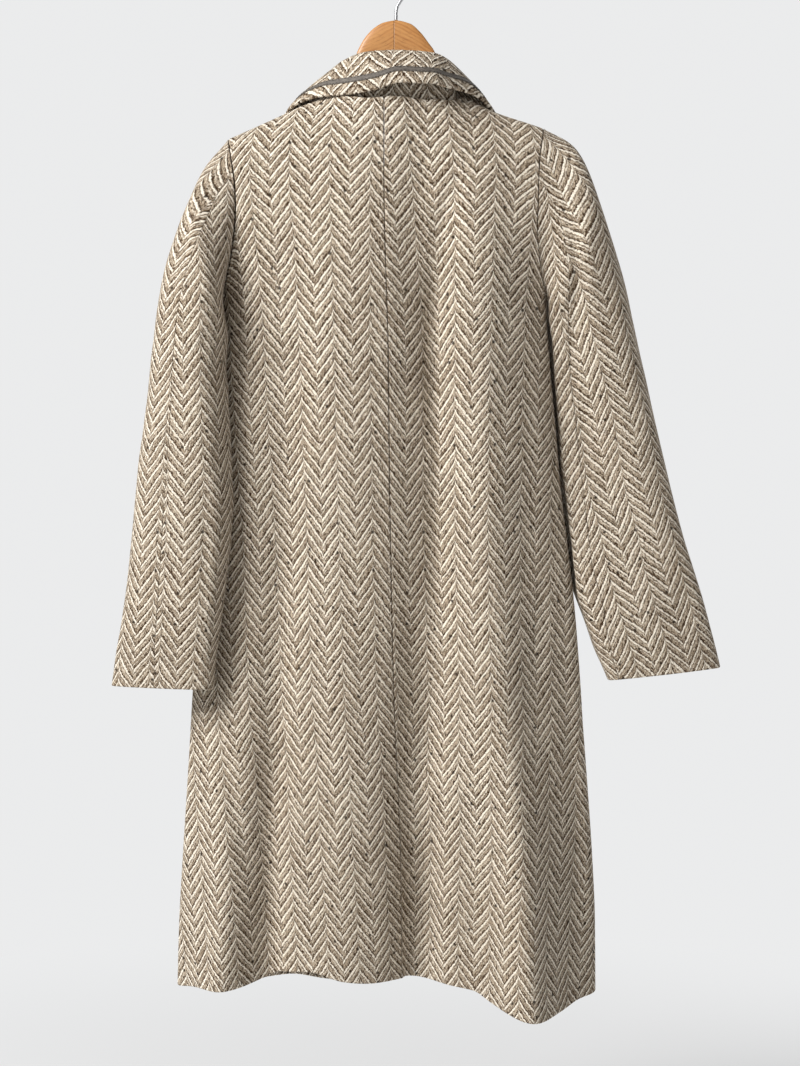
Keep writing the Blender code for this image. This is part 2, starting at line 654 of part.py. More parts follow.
def collar_grid():
    steps = np.linspace(7, 0, COLLAR_STEPS + 1)
    left = [collar_profile(LEFT, s) for s in steps]
    right = [collar_profile(RIGHT, s) for s in steps[::-1][1:]]
    points = np.array(left + right)
    leaf = COLLAR_ACROSS // 2
    points[:, :leaf] = clear_of_shoulders(points[:, :leaf], CLOTH + 1.6)
    normals = normals_of(points)
    middle = COLLAR_STEPS
    if normals[middle, 1, 1] < 0:
        normals = -normals
    return points, normals


def make_collar(cloth, tape):
    points, normals = collar_grid()
    wall("collar", points, points - CLOTH * normals, cloth)
    strips = []
    for profile, normal in zip(points, normals):
        place = np.concatenate([[0], np.cumsum(np.linalg.norm(np.diff(profile, axis=0), axis=1))])
        row = []
        for at in (TAPE_INSIDE - TAPE_WIDTH / 2, TAPE_INSIDE, TAPE_INSIDE + TAPE_WIDTH / 2):
            spot = np.array([np.interp(at, place, profile[:, k]) for k in range(3)])
            up = unit(np.array([np.interp(at, place, normal[:, k]) for k in range(3)]))
            row.append((spot, up))
        strips.append(row)
    spots = np.array([[s for s, _ in row] for row in strips])
    ups = np.array([[u for _, u in row] for row in strips])
    low = spots + 0.45 * ups
    # Finer across than the collar, so the strip also clears the collar's own facets.
    wall("collar_trim", low + TAPE_THICK * ups, low, tape)


def lapel_grid(side, rows=12, columns=5):
    start, end, table = LAPELS[side]
    e = np.linspace(0, 1, rows + 1)[:, None]
    c = np.linspace(0, 1, columns + 1)[None, :]
    down = start + (end - start) * e
    edge = NECK[side] + (CENTRE_FRONT - side * OVERLAP - NECK[side]) * down
    drop = RIDGE.at("drop", edge)
    drop = drop + (ARMPIT - drop) * down
    x = edge + side * table.at("out", e) * c
    drop = drop + table.at("low", e) * c
    lift = CLOTH + RESTING + LAPEL_LIFT * np.sin(math.pi * np.minimum(c * 1.0, 1)) ** 2
    y = body_y(FRONT, x, drop, under=side == LEFT)
    points = np.stack([x, y, -drop], axis=-1)
    normals = normals_of(points)
    if normals[3, 2, 1] > 0:
        normals = -normals
    return points + normals * lift[..., None], normals


def make_lapels(cloth):
    for side, name in ((LEFT, "lapel_left"), (RIGHT, "lapel_right")):
        points, normals = lapel_grid(side)
        wall(name, points, points - (CLOTH - 0.4) * normals, cloth)


def make_buttons(surface):
    number = 0
    for across in BUTTON_COLUMNS:
        for drop in BUTTON_ROWS:
            number += 1
            x = CENTRE_FRONT + across
            spot = lambda dx, dd: np.array([x + dx, float(body_y(FRONT, x + dx, drop + dd)), -(drop + dd)])
            centre = spot(0, 0)
            normal = unit(np.cross(spot(5, 0) - spot(-5, 0), spot(0, 5) - spot(0, -5)))
            if normal[1] > 0:
                normal = -normal
            angles = np.linspace(0, 2 * math.pi, 13)
            rim = [spot(BUTTON_RADIUS * math.cos(k), BUTTON_RADIUS * math.sin(k)) for k in angles]
            clear = max(0.0, max(float((p - centre) @ normal) for p in rim)) + RESTING
            r, h = BUTTON_RADIUS, BUTTON_THICK
            profile = ((r * 0.8, 0), (r, h * 0.35), (r, h * 0.75), (r * 0.9, h), (r * 0.72, h * 0.8))
            lathe(f"button_{number}", profile, centre + clear * normal, normal, 16, surface)


# ---- hanger -------------------------------------------------------------

def make_wood(surface):
    round_corner = [(1, 0.0), (1, 0.68), (0.72, 0.92), (0, 1), (-0.72, 0.92), (-1, 0.68),
                    (-1, -0.68), (-0.72, -0.92), (0, -1), (0.72, -0.92), (1, -0.68)]
    for name, ends in (("hanger_wood_left", (WOOD_JOINT + 0.15, 190)),
                       ("hanger_wood_right", (WOOD_JOINT - 0.15, -166))):
        xs = ends[0] + (ends[1] - ends[0]) * np.linspace(0, 1, 20) ** 1.15
        points, faces = [], []
        count = len(round_corner)
        for x in xs:
            top, bottom = float(WOOD.at("top", x)), float(WOOD.at("bottom", x))
            middle, tall = (top + bottom) / 2, (bottom - top) / 2
            for y, up in round_corner:
                points.append((x, y * WOOD_HALF, -middle + up * tall))
        for i in range(len(xs) - 1):
            for k in range(count):
                here, there = i * count + k, i * count + (k + 1) % count
                faces.append((here, there, there + count, here + count))
        faces.append(tuple(range(count))[::-1])
        faces.append(tuple((len(xs) - 1) * count + k for k in range(count)))
        points = np.array(points)
        if volume(points, faces) < 0:
            faces = [tuple(reversed(face)) for face in faces]
        add(name, points, faces, surface)


def make_hook(surface):
    path = [(0, HOOK_FOOT), (0, 70), (-0.6, 64), (-4.2, 56.5), (-9.5, 49), (-14.4, 41), (-18, 32.5)]
    for degrees in range(188, -41, -18):
        angle = math.radians(degrees)
        path.append((HOOK_RADIUS * math.cos(angle), 18 - HOOK_RADIUS * math.sin(angle)))
    path = np.array([(x, 0.0, -drop) for x, drop in path])
    along = unit(np.gradient(path, axis=0))
    along[0] = (0, 0, 1)
    sides = 10
    points, faces = [], []
    for spot, forward in zip(path, along):
        across = np.cross(forward, (0, 1.0, 0))
        for k in range(sides):
            angle = 2 * math.pi * k / sides
            points.append(spot + HOOK_WIRE * (math.cos(angle) * across + math.sin(angle) * np.array([0, 1.0, 0])))
    for i in range(len(path) - 1):
        for k in range(sides):
            here, there = i * sides + k, i * sides + (k + 1) % sides
            faces.append((here, there, there + sides, here + sides))
    faces.append(tuple(range(sides))[::-1])
    faces.append(tuple((len(path) - 1) * sides + k for k in range(sides)))
    points = np.array(points)
    if volume(points, faces) < 0:
        faces = [tuple(reversed(face)) for face in faces]
    add("hanger_hook", points, faces, surface)


def main():
    for obj in list(bpy.data.objects):
        bpy.data.objects.remove(obj)
    cloth = material("herringbone_wool", CLOTH_COLOUR, 0.9)
    make_body_and_sleeves(cloth)
    make_collar(cloth, material("tape", TAPE_COLOUR, 0.8))
    make_lapels(cloth)
    make_buttons(material("button_horn", BUTTON_COLOUR, 0.4))
    make_wood(material("hanger_wood", WOOD_COLOUR, 0.5))
    make_hook(material("hook_steel", STEEL_COLOUR, 0.3, 1.0))


main()
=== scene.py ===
# Long herringbone coat on a wooden hanger: cloth shells, seams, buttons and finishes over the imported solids.
# Sizes are millimetres unless a name says otherwise; "drop" is the distance below the inside top of the hook.
import math

import bmesh
import bpy
import numpy as np
from mathutils import Matrix, Vector


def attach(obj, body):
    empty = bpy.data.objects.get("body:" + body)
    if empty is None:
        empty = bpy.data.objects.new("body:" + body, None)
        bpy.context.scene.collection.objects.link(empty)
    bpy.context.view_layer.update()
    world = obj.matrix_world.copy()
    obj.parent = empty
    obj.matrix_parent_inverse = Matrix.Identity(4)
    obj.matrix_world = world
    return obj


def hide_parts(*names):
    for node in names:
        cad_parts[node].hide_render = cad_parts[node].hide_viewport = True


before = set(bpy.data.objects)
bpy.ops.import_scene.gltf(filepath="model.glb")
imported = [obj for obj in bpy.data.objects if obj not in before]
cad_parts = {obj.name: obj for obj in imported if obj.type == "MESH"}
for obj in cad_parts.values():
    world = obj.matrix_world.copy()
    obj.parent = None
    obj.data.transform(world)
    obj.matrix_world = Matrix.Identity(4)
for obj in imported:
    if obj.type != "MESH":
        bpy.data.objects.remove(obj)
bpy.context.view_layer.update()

mm = 0.001
left, right = 1, -1
back, front = 1, -1


studio = {
    "cameraAt": (-0.0046, 1.96, -0.686),  # metres
    "focalPixels": 1652.0,
    "photoHigh": 1066.0,
    "sensor": 36.0,
    "floorZ": -1.62,
    "floorWide": 60.0,
    "floorColour": (0.86, 0.86, 0.86, 1),
    "paleColour": (0.83, 0.835, 0.84, 1),
    "ambient": 0.24,  # how strongly the pale surround lights the coat
    "fadeFrom": 0.35,  # the floor turns into the pale surround between these distances
    "fadeTo": 1.9,
    "keyAt": (2.8, 2.3, 1.8),
    "keySize": 2.3,
    "keyPower": 262.0,
    "fillAt": (-2.4, -2.2, 0.6),
    "fillPower": 28.0,
}


class Wire:
    # one output socket of a node, so that shader maths reads as Python

    def __init__(self, tree, socket):
        self.tree, self.socket = tree, socket

    def maths(self, operation, first, *rest):
        return self.tree.add("ShaderNodeMath", {"operation": operation}, dict(enumerate((first, *rest))))

    def __add__(self, other):
        return self.maths("ADD", self, other)

    def __radd__(self, other):
        return self.maths("ADD", other, self)

    def __sub__(self, other):
        return self.maths("SUBTRACT", self, other)

    def __rsub__(self, other):
        return self.maths("SUBTRACT", other, self)

    def __mul__(self, other):
        return self.maths("MULTIPLY", self, other)

    def __rmul__(self, other):
        return self.maths("MULTIPLY", other, self)

    def __truediv__(self, other):
        return self.maths("DIVIDE", self, other)

    def __rtruediv__(self, other):
        return self.maths("DIVIDE", other, self)

    def __abs__(self):
        return self.maths("ABSOLUTE", self)

    def floor(self):
        return self.maths("FLOOR", self)

    def fract(self):
        return self.maths("FRACT", self)

    def power(self, other):
        return self.maths("POWER", self, other)

    def most(self, other):
        return self.maths("MAXIMUM", self, other)

    def least(self, other):
        return self.maths("MINIMUM", self, other)

    def step(self, low, high):
        # smooth 0 to 1 as the value goes from low to high
        return self.tree.add("ShaderNodeMapRange", {"interpolation_type": "SMOOTHSTEP"},
                             {"Value": self, "From Min": low, "From Max": high})

    def part(self, name):
        # one axis of a vector
        return self.tree.add("ShaderNodeSeparateXYZ", {}, {"Vector": self}, name)

    def parts(self, names="XYZ"):
        return [self.part(name) for name in names]


class Shade:
    # builds one material's nodes

    def __init__(self, name, viewport):
        self.material = bpy.data.materials.new(name)
        self.material.use_nodes = True
        self.material.diffuse_color = viewport
        self.nodes = self.material.node_tree.nodes
        self.links = self.material.node_tree.links
        self.nodes.clear()

    def add(self, kind, settings, values, output=0):
        node = self.nodes.new(kind)
        for name, value in settings.items():
            setattr(node, name, value)
        for name, value in values.items():
            if isinstance(value, Wire):
                self.links.new(value.socket, node.inputs[name])
            else:
                node.inputs[name].default_value = value
        return Wire(self, node.outputs[output]) if node.outputs else None

    def mix(self, factor, first, second):
        # colours by a factor; 6 and 7 are the Mix node's colour sockets, 2 its colour output
        return self.add("ShaderNodeMix", {"data_type": "RGBA"}, {0: factor, 6: first, 7: second}, 2)

    def pingpong(self, value, top):
        return self.add("ShaderNodeMath", {"operation": "PINGPONG"}, {0: value, 1: top})

    def onCloth(self):
        # metres across and down the cloth's grain
        return self.add("ShaderNodeUVMap", {"uv_map": "cloth"}, {})

    def inSpace(self):
        return self.add("ShaderNodeTexCoord", {}, {}, "Object")

    def vector(self, x, y, z=0.0):
        return self.add("ShaderNodeCombineXYZ", {}, {"X": x, "Y": y, "Z": z})

    def noise(self, place, scale, detail=2.0, rough=0.5):
        return self.add("ShaderNodeTexNoise", {"noise_dimensions": "3D"},
                        {"Vector": place, "Scale": scale, "Detail": detail, "Roughness": rough})

    def random(self, place):
        return self.add("ShaderNodeTexWhiteNoise", {"noise_dimensions": "3D"}, {"Vector": place})

    def bump(self, height, strength, distance):
        return self.add("ShaderNodeBump", {}, {"Height": height, "Strength": strength, "Distance": distance})

    def finish(self, **inputs):
        values = {name.replace("_", " "): value for name, value in inputs.items()}
        shader = self.add("ShaderNodeBsdfPrincipled", {}, values)
        self.add("ShaderNodeOutputMaterial", {}, {"Surface": shader})
        return self.material


def aim(obj, target):
    obj.rotation_euler = (Vector(target) - obj.location).to_track_quat("-Z", "Y").to_euler()


def areaLight(name, place, size, power, target):
    light = bpy.data.lights.new(name, "AREA")
    light.shape, light.size, light.energy = "DISK", size, power
    obj = bpy.data.objects.new(name, light)
    obj.location = place
    bpy.context.scene.collection.objects.link(obj)
    aim(obj, target)


def floorMaterial():
    s = Shade("studio_floor", studio["floorColour"])
    away = s.add("ShaderNodeVectorMath", {"operation": "LENGTH"}, {0: s.inSpace()}, "Value")
    near = s.add("ShaderNodeBsdfPrincipled", {}, {"Base Color": studio["floorColour"], "Roughness": 0.9})
    far = s.add("ShaderNodeEmission", {}, {"Color": studio["paleColour"], "Strength": 1.0})
    faded = away.step(studio["fadeFrom"], studio["fadeTo"])
    both = s.add("ShaderNodeMixShader", {}, {0: faded, 1: near, 2: far})
    s.add("ShaderNodeOutputMaterial", {}, {"Surface": both})
    return s.material


def makeStudio():
    scene = bpy.context.scene
    scene.view_settings.view_transform = "Standard"
    camera = bpy.data.cameras.new("photo_camera")
    camera.sensor_width = studio["sensor"]
    camera.lens = studio["focalPixels"] / studio["photoHigh"] * studio["sensor"]
    eye = bpy.data.objects.new("photo_camera", camera)
    eye.location = studio["cameraAt"]
    eye.rotation_euler = (math.pi / 2, 0, math.pi)
    scene.collection.objects.link(eye)
    scene.camera = eye

    world = bpy.data.worlds.new("pale_surround")
    scene.world = world
    world.use_nodes = True
    tree = world.node_tree
    seen = tree.nodes["Background"]
    seen.inputs["Color"].default_value = studio["paleColour"]
    cast = tree.nodes.new("ShaderNodeBackground")
    cast.inputs["Color"].default_value = studio["paleColour"]
    cast.inputs["Strength"].default_value = studio["ambient"]
    both = tree.nodes.new("ShaderNodeMixShader")
    tree.links.new(tree.nodes.new("ShaderNodeLightPath").outputs["Is Camera Ray"], both.inputs[0])
    tree.links.new(cast.outputs[0], both.inputs[1])
    tree.links.new(seen.outputs[0], both.inputs[2])
    tree.links.new(both.outputs[0], tree.nodes["World Output"].inputs["Surface"])

    centre = (0, 0, studio["cameraAt"][2])
    areaLight("key_light", studio["keyAt"], studio["keySize"], studio["keyPower"], centre)
    areaLight("fill_light", studio["fillAt"], studio["keySize"], studio["fillPower"], centre)

    wide = studio["floorWide"]
    mesh = bpy.data.meshes.new("floor")
    corners = [(-wide, -wide, 0), (wide, -wide, 0), (wide, wide, 0), (-wide, wide, 0)]
    mesh.from_pydata(corners, [], [(0, 1, 2, 3)])
    mesh.materials.append(floorMaterial())
    floor = bpy.data.objects.new("floor", mesh)
    floor.location.z = studio["floorZ"]
    scene.collection.objects.link(floor)


makeStudio()
print("camera, light and floor set")


def between(keys, values, at):
    # smooth curve through (key, value) pairs that never overshoots
    keys, values = np.asarray(keys, float), np.asarray(values, float)
    at = np.clip(np.asarray(at, float), keys[0], keys[-1])
    step = np.diff(keys)
    slope = np.diff(values) / step
    tangent = np.empty_like(values)
    tangent[0], tangent[-1] = slope[0], slope[-1]
    same = slope[:-1] * slope[1:] > 0
    total = np.where(same, slope[:-1] + slope[1:], 1)
    tangent[1:-1] = np.where(same, 2 * slope[:-1] * slope[1:] / total, 0)
    k = np.clip(np.searchsorted(keys, at, "right") - 1, 0, len(keys) - 2)
    h = step[k]
    s = (at - keys[k]) / h
    start = (1 + 2 * s) * (1 - s) ** 2 * values[k] + s * (1 - s) ** 2 * h * tangent[k]
    end = s * s * (3 - 2 * s) * values[k + 1] + s * s * (s - 1) * h * tangent[k + 1]
    return start + end


class Table:
    # rows read by column name, smoothly between one row and the next

    def __init__(self, columns, *rows):
        self.column = dict(zip(columns.split(), np.array(rows, float).T))
        self.key = columns.split()[0]

    def at(self, name, key):
        return between(self.column[self.key], self.column[name], key)


def unit(vectors):
    return vectors / np.maximum(np.linalg.norm(vectors, axis=-1, keepdims=True), 1e-9)


def smooth(s):
    s = np.clip(s, 0, 1)
    return s * s * (3 - 2 * s)


form = {
    "cloth": 3.0,  # wall of the cloth
    "seam": 0.12,  # each edge stops this short of its seam
    "armholeGap": 0.5,
    "armpit": 411.0,
    "ridge": Table(  # the shoulders' top edge, from the right shoulder to the left one
        "x drop",
        (-260, 245), (-174, 206.7), (-110, 184.5), (-85, 170), (-65, 150), (-45, 124),
        (0, 92.6), (45, 122), (85, 165), (127, 187), (199, 219.7), (260, 248),
    ),
    "sides": Table(
        "drop left right",
        (200, 320, -292), (260, 284, -258), (300, 262, -236), (330, 243, -217), (360, 226, -200),
        (385, 213, -187), (400, 207, -181), (411, 205, -177.5), (484, 211, -182), (563, 217, -189),
        (642, 223, -196), (732, 230, -207), (783, 234, -212.3), (830, 237.5, -216),
        (873, 241, -219), (907, 243, -221), (954, 245.6, -224.5),
        (1072, 252.5, -232.5), (1144, 256, -235.5), (1240, 258, -236),
    ),
    "depths": Table(
        "drop back front", (150, 66, 60), (300, 66, 60), (411, 64, 60),
        (563, 60, 58), (732, 56, 58), (907, 54, 58), (1072, 54, 60), (1240, 57, 64),
    ),
    "sideSeams": Table("drop left right", (150, 0, 0), (411, 0, 0), (900, 0, 0), (1240, 12, 2)),
    "centreBack": Table(
        "drop x", (120, 13.8), (264, 13.8), (418, 10.4), (464, 8.9), (648, 6.9),
        (765, 4.8), (878, 2.3), (1062, -5.2), (1240, -7.4),
    ),
    "centreFront": 9.0,
    "armholes": Table(
        "drop left right", (200, 199.5, -175.5), (219.7, 198.3, -172.8), (248, 193.5, -168.3),
        (285, 187.5, -166), (310, 186.4, -165.3), (330, 187.5, -164.4),
        (358, 191.2, -166.5), (385, 198, -170.5), (411, 205, -177.5),
    ),
    "backHem": Table(
        "x drop", (-240, 1226), (-214, 1231), (-190, 1237), (-168, 1238.5),
        (-145, 1236.5), (-125, 1232), (-108, 1224.5), (-88, 1213), (-35, 1206),
        (-5, 1203.6), (28, 1203), (60, 1199.5), (100, 1190), (135, 1193.5), (149, 1201),
        (178, 1207), (211, 1209), (240, 1213), (260, 1218),
    ),
    "frontHem": Table(
        "x drop", (-240, 1226), (-150, 1229), (-50, 1223), (30, 1223), (70, 1227), (110, 1228),
        (200, 1223), (260, 1218),
    ),
    "fullness": 0.8,  # how square the body's cross-section is
    "neck": {left: 85.0, right: -85.0},
    "neckTurn": 43.0,  # degrees round the shoulder to the back of the neck
    "neckShare": 5 / 14,  # how much of a back's top edge is neck
    "overlap": 80.0,
    "under": 5.5,
    "underFade": 40.0,
}

# Long folds: where each runs, how far it stands out (minus for a valley) and how wide it is.
folds = {
    back: (
        Table("drop x out wide", (230, -30, -5, 28), (350, -31, -13, 31), (500, -35, -17, 31),
              (700, -37, -17, 31), (850, -30, -20, 30), (1000, -24, -26, 30), (1240, -20, -32, 30)),
        Table("drop x out wide", (230, 55, 2, 40), (400, 58.7, 6, 42), (800, 60, 9, 42),
              (1000, 62, 10, 38), (1240, 66, 8, 34)),
        Table("drop x out wide", (230, -95, 2, 35), (400, -104, 12, 38), (700, -112, 18, 38),
              (900, -125, 26, 38), (1050, -143, 42, 38), (1240, -156, 62, 38)),
        Table("drop x out wide", (300, 125, 0, 22), (500, 131, -6, 22), (700, 133, -10, 21),
              (900, 140, -14, 20), (1050, 146, -17, 19), (1240, 148, -18, 19)),
        Table("drop x out wide", (850, 205, 0, 26), (1000, 205, 14, 27), (1240, 206, 50, 30)),
        Table("drop x out wide", (600, -190, 0, 14), (750, -195, -5, 14), (1000, -213, -9, 14),
              (1240, -220, -10, 14)),
    ),
    front: (
        Table("drop x out wide", (450, -118, 0, 34), (650, -120, 5, 36), (900, -126, 14, 38),
              (1240, -138, 30, 40)),
        Table("drop x out wide", (600, -52, 0, 30), (900, -55, -8, 30), (1240, -60, -18, 30)),
        Table("drop x out wide", (450, 112, 0, 32), (700, 112, 8, 34), (1000, 118, 18, 36),
              (1240, 126, 28, 36)),
        Table("drop x out wide", (700, 40, 0, 26), (1000, 44, -8, 28), (1240, 48, -14, 28)),
        Table("drop x out wide", (700, 178, 0, 18), (1000, 182, -7, 19), (1240, 186, -12, 20)),
    ),
}

# Short creases: x and drop of both ends, the height (minus for a trough) and the width.
creases = {
    back: (
        (-70, 262, -48, 372, -6.5, 13), (-46, 340, -46, 610, -14.5, 15), (-48, 550, -54, 860, -10.5, 15),
        (-50, 820, -36, 1010, -6.5, 16), (-42, 1000, -34, 1210, -10.0, 15),
        (116, 420, 122, 800, -3.5, 15), (130, 900, 148, 1200, -4.0, 14),
        (-206, 780, -222, 1180, -4.0, 12),
        (206, 930, 168, 1085, -3.2, 8), (190, 900, 150, 1040, 2.0, 10), (172, 985, 148, 1075, -2.6, 6),
        (86, 1128, 70, 1168, -2.6, 5), (78, 1140, 66, 1160, 1.8, 5), (95, 1150, 84, 1176, -2.0, 5),
        (150, 330, 96, 300, -1.0, 12), (-140, 330, -92, 305, -1.0, 12),
        (176, 470, 120, 560, -1.5, 13), (-150, 480, -105, 590, -1.3, 13),
        (-182, 700, -150, 900, -2.0, 10), (-168, 960, -186, 1120, 1.8, 11),
        (20, 690, 34, 820, 1.2, 14), (-62, 760, -70, 930, -1.4, 12), (100, 640, 92, 760, -1.3, 12),
        (-80, 400, -70, 520, 1.2, 16), (-4, 980, 4, 1110, 1.5, 13),
    ),
    front: (
        (188, 480, 122, 585, -1.8, 13), (-160, 480, -104, 600, -1.8, 13), (204, 900, 160, 1060, -2.0, 10),
        (-186, 860, -150, 1050, -2.2, 11), (-90, 700, -84, 860, 1.3, 15), (120, 720, 112, 880, -1.4, 13),
        (0, 900, 12, 1090, -1.6, 14), (-30, 1060, -40, 1180, 1.6, 12),
    ),
}
# A few slow waves make up for the stiffness of plain curves: length, heading in degrees, height.
waves = ((148, 74, 0.55), (96, 12, 0.4), (67, 118, 0.28), (212, 95, 0.7), (53, 48, 0.18))


def ofSide(table, side, drop):
    return np.where(side > 0, table.at("left", drop), table.at("right", drop))


def foldHeight(runs, x, drop):
    height = np.zeros(np.broadcast(x, drop).shape)
    for run in runs:
        away = (x - run.at("x", drop)) / run.at("wide", drop)
        height = height + run.at("out", drop) * np.exp(-away * away)
    return height


def creaseHeight(rows, x, drop, widen=1.0, bow=0.5):
    # rows run from (x, drop) to (x, drop), with a height and a width; widen turns their x into millimetres
    height = np.zeros(np.broadcast(x, drop).shape)
    for startX, startDrop, endX, endDrop, out, wide in rows:
        overX, overDrop = (endX - startX) * widen, endDrop - startDrop
        dx, dd = (x - startX) * widen, drop - startDrop
        length = np.hypot(overX, overDrop)
        along = (dx * overX + dd * overDrop) / length**2
        # the crease bows a little and fades at both ends
        off = (dx * overDrop - dd * overX) / length / wide + bow * (2 * along - 1) ** 2
        fade = np.exp(-np.clip(np.abs(2 * along - 1) - 0.3, 0, None) ** 2 / 0.3)
        height = height + out * np.exp(-off * off) * fade
    return height


def waveHeight(x, drop, start):
    height = 0
    for k, (long, heading, high) in enumerate(waves):
        turn = math.radians(heading)
        place = (x * math.cos(turn) + drop * math.sin(turn)) / long + start + 0.37 * k
        height = height + high * np.sin(2 * math.pi * place + 1.3 * np.sin(2 * math.pi * place * 0.31 + k))
    return height


def bodyDepth(face, x, drop, plain=False):
    middle = form["centreBack"].at("x", drop) if face == back else form["centreFront"]
    side = np.where(x >= middle, 1, -1)
    width = np.abs(ofSide(form["sides"], side, drop) - middle)
    u = np.clip(np.abs(x - middle) / width, 0, 1)
    ridge = form["ridge"].at("drop", x)
    fall = np.clip((drop - ridge) / (form["armpit"] - ridge), 0, 1)
    shoulder = np.sqrt(1 - (1 - fall) ** 2)
    depth = form["depths"].at("back" if face == back else "front", drop)
    height = foldHeight(folds[face], x, drop)
    if not plain:
        calm = smooth((drop - ridge - 45) / 90)
        height = height + creaseHeight(creases[face], x, drop)
        height = height + waveHeight(x, drop, 0.2 if face == back else 0.7) * calm
    return (depth * (1 - u * u) ** (form["fullness"] / 2) + height * (1 - u**6)) * shoulder


def bodyY(face, x, drop, under=False, plain=False):
    middle = form["centreFront"] if face == front else form["centreBack"].at("x", drop)
    seam = ofSide(form["sideSeams"], np.where(x >= middle, 1, -1), drop)
    depth = bodyDepth(face, x, drop, plain)
    if under:
        edge = form["centreFront"] + form["overlap"] + form["underFade"]
        s = smooth((edge - x) / form["underFade"])
        depth = depth - form["under"] * s * np.clip((drop - 230) / 50, 0, 1)
    return face * depth + seam


def bodyPoints(face, side, a, v):
    # one half of the body: a runs from the centre to the side,
    # v from the top edge to the armpit (1) and the hem (2)
    a, v = np.broadcast_arrays(np.asarray(a, float), np.asarray(v, float))
    armpit = form["armpit"]
    shoulder = ofSide(form["armholes"], side, 0)
    shoulderDrop = form["ridge"].at("drop", shoulder)
    hem = form["backHem"] if face == back else form["frontHem"]
    farEdge = form["centreFront"] - side * form["overlap"]
    neck = form["neck"][side]

    t = np.clip(v, 0, 1)
    edgeDrop = shoulderDrop + (armpit - shoulderDrop) * (1 - np.cos(t * math.pi / 2))
    outer = ofSide(form["armholes"], side, edgeDrop)
    if face == back:
        share = form["neckShare"]
        centre = form["centreBack"].at("x", 180)
        topX = np.where(a < share, centre + (neck - centre) * a / share,
                        neck + (shoulder - neck) * (a - share) / (1 - share))
        roundNeck = np.where(a < share, np.sqrt(np.clip(1 - (topX / neck) ** 2, 0, 1)), 0)
        turn = math.radians(form["neckTurn"]) * roundNeck * (1 - t) + t * math.pi / 2
        top = form["ridge"].at("drop", 0)
        centreDrop = top + (armpit - top) * (1 - np.cos(np.minimum(turn, math.pi / 2)))
        inner = form["centreBack"].at("x", centreDrop)
        start = np.zeros_like(a)
    else:
        topX = neck + (shoulder - neck) * a
        turn = t * math.pi / 2
        inner = neck + (farEdge - neck) * (1 - np.cos(turn))
        middleWidth = np.abs(ofSide(form["sides"], side, armpit) - form["centreFront"])
        start = np.full_like(a, -math.asin(form["overlap"] / middleWidth))
    topShare = (topX - topX[..., :1]) / (topX[..., -1:] - topX[..., :1])
    lowShare = (np.sin(start + (math.pi / 2 - start) * a) - np.sin(start)) / (1 - np.sin(start))
    blend = smooth(t)
    x = inner + (outer - inner) * (topShare * (1 - blend) + lowShare * blend)
    ridge = form["ridge"].at("drop", x)
    drop = ridge + (armpit - ridge) * (1 - np.cos(turn))

    b = np.clip(v - 1, 0, 1)
    lowDrop = armpit + (hem.at("drop", x) - armpit) * b
    lowX = x
    for _ in range(4):
        far = ofSide(form["sides"], side, lowDrop)
        middle = form["centreBack"].at("x", lowDrop) if face == back else form["centreFront"]
        width = np.abs(far - middle)
        start = 0 if face == back else -np.arcsin(form["overlap"] / width)
        lowX = middle + side * width * np.sin(start + (math.pi / 2 - start) * a)
        lowDrop = armpit + (hem.at("drop", lowX) - armpit) * b
    x, drop = np.where(v > 1, lowX, x), np.where(v > 1, lowDrop, drop)
    under = face == front and side == left
    return np.stack([x, bodyY(face, x, drop, under), -drop], axis=-1)


def normalsOf(points, wrap=False):
    if wrap:
        wide = np.concatenate([points[:, -2:-1], points, points[:, 1:2]], axis=1)
        along = (wide[:, 2:] - wide[:, :-2]) / 2
    else:
        along = np.gradient(points, axis=1)
    return unit(np.cross(np.gradient(points, axis=0), along))


def without(vectors, direction):
    # the vectors with what lies along a direction taken out
    direction = unit(np.asarray(direction, float))
    return unit(vectors - (vectors @ direction)[..., None] * direction)


finish = {
    "freeRound": 1.45,  # how a hem, cuff or collar edge is rounded
    "freeShare": 0.48,  # of the cloth's thickness, where that is more
    "freeThin": 0.06,
    "seamWide": 1.9,  # how far a seam pulls the cloth in, how deep it is, and how dark its painted shade and stitch line are
    "seamDeep": {"sewn": 1.2, "pressed": 0.6},
    "seamShade": {"sewn": 1.0, "pressed": 0.3},
    "shadeWide": 1.0,  # how far a seam's painted shade and stitch line reach
    "edgeRows": (0.15, 0.45, 0.9, 1.4, 2.2),  # extra rows of points beside every edge
}


def lengthsAlong(points, axis=0):
    # how far each point is from the first one, along the rows or the columns
    steps = np.linalg.norm(np.diff(points, axis=axis), axis=-1)
    return np.concatenate([np.zeros_like(steps.take([0], axis)), np.cumsum(steps, axis=axis)], axis=axis)


def edgeDistance(points):
    # distance of every point from the grid's first row, last row, first column and last column
    fromTop, fromStart = lengthsAlong(points, 0), lengthsAlong(points, 1)
    return fromTop, fromTop[-1:] - fromTop, fromStart, fromStart[:, -1:] - fromStart


def withEdgeRows(grid, edges):
    # more rows of points close to the edges that are sewn or turned
    for number, kind in enumerate(edges):
        if kind is None:
            continue
        axis, atEnd = number // 2, number % 2 == 1
        view = grid if axis == 0 else grid.swapaxes(0, 1)
        view = view[::-1] if atEnd else view
        gap = np.linalg.norm(view[1, :, :3] - view[0, :, :3], axis=-1)[:, None]
        share = [np.minimum(d / np.maximum(gap, 1e-6), 1) for d in finish["edgeRows"]
                 if d < 0.8 * np.median(gap)]
        extra = [view[0] * (1 - s) + view[1] * s for s in share]
        if extra:
            view = np.concatenate([view[:1], np.array(extra), view[1:]])
        view = view[::-1] if atEnd else view
        grid = view if axis == 0 else view.swapaxes(0, 1)
    return np.ascontiguousarray(grid)


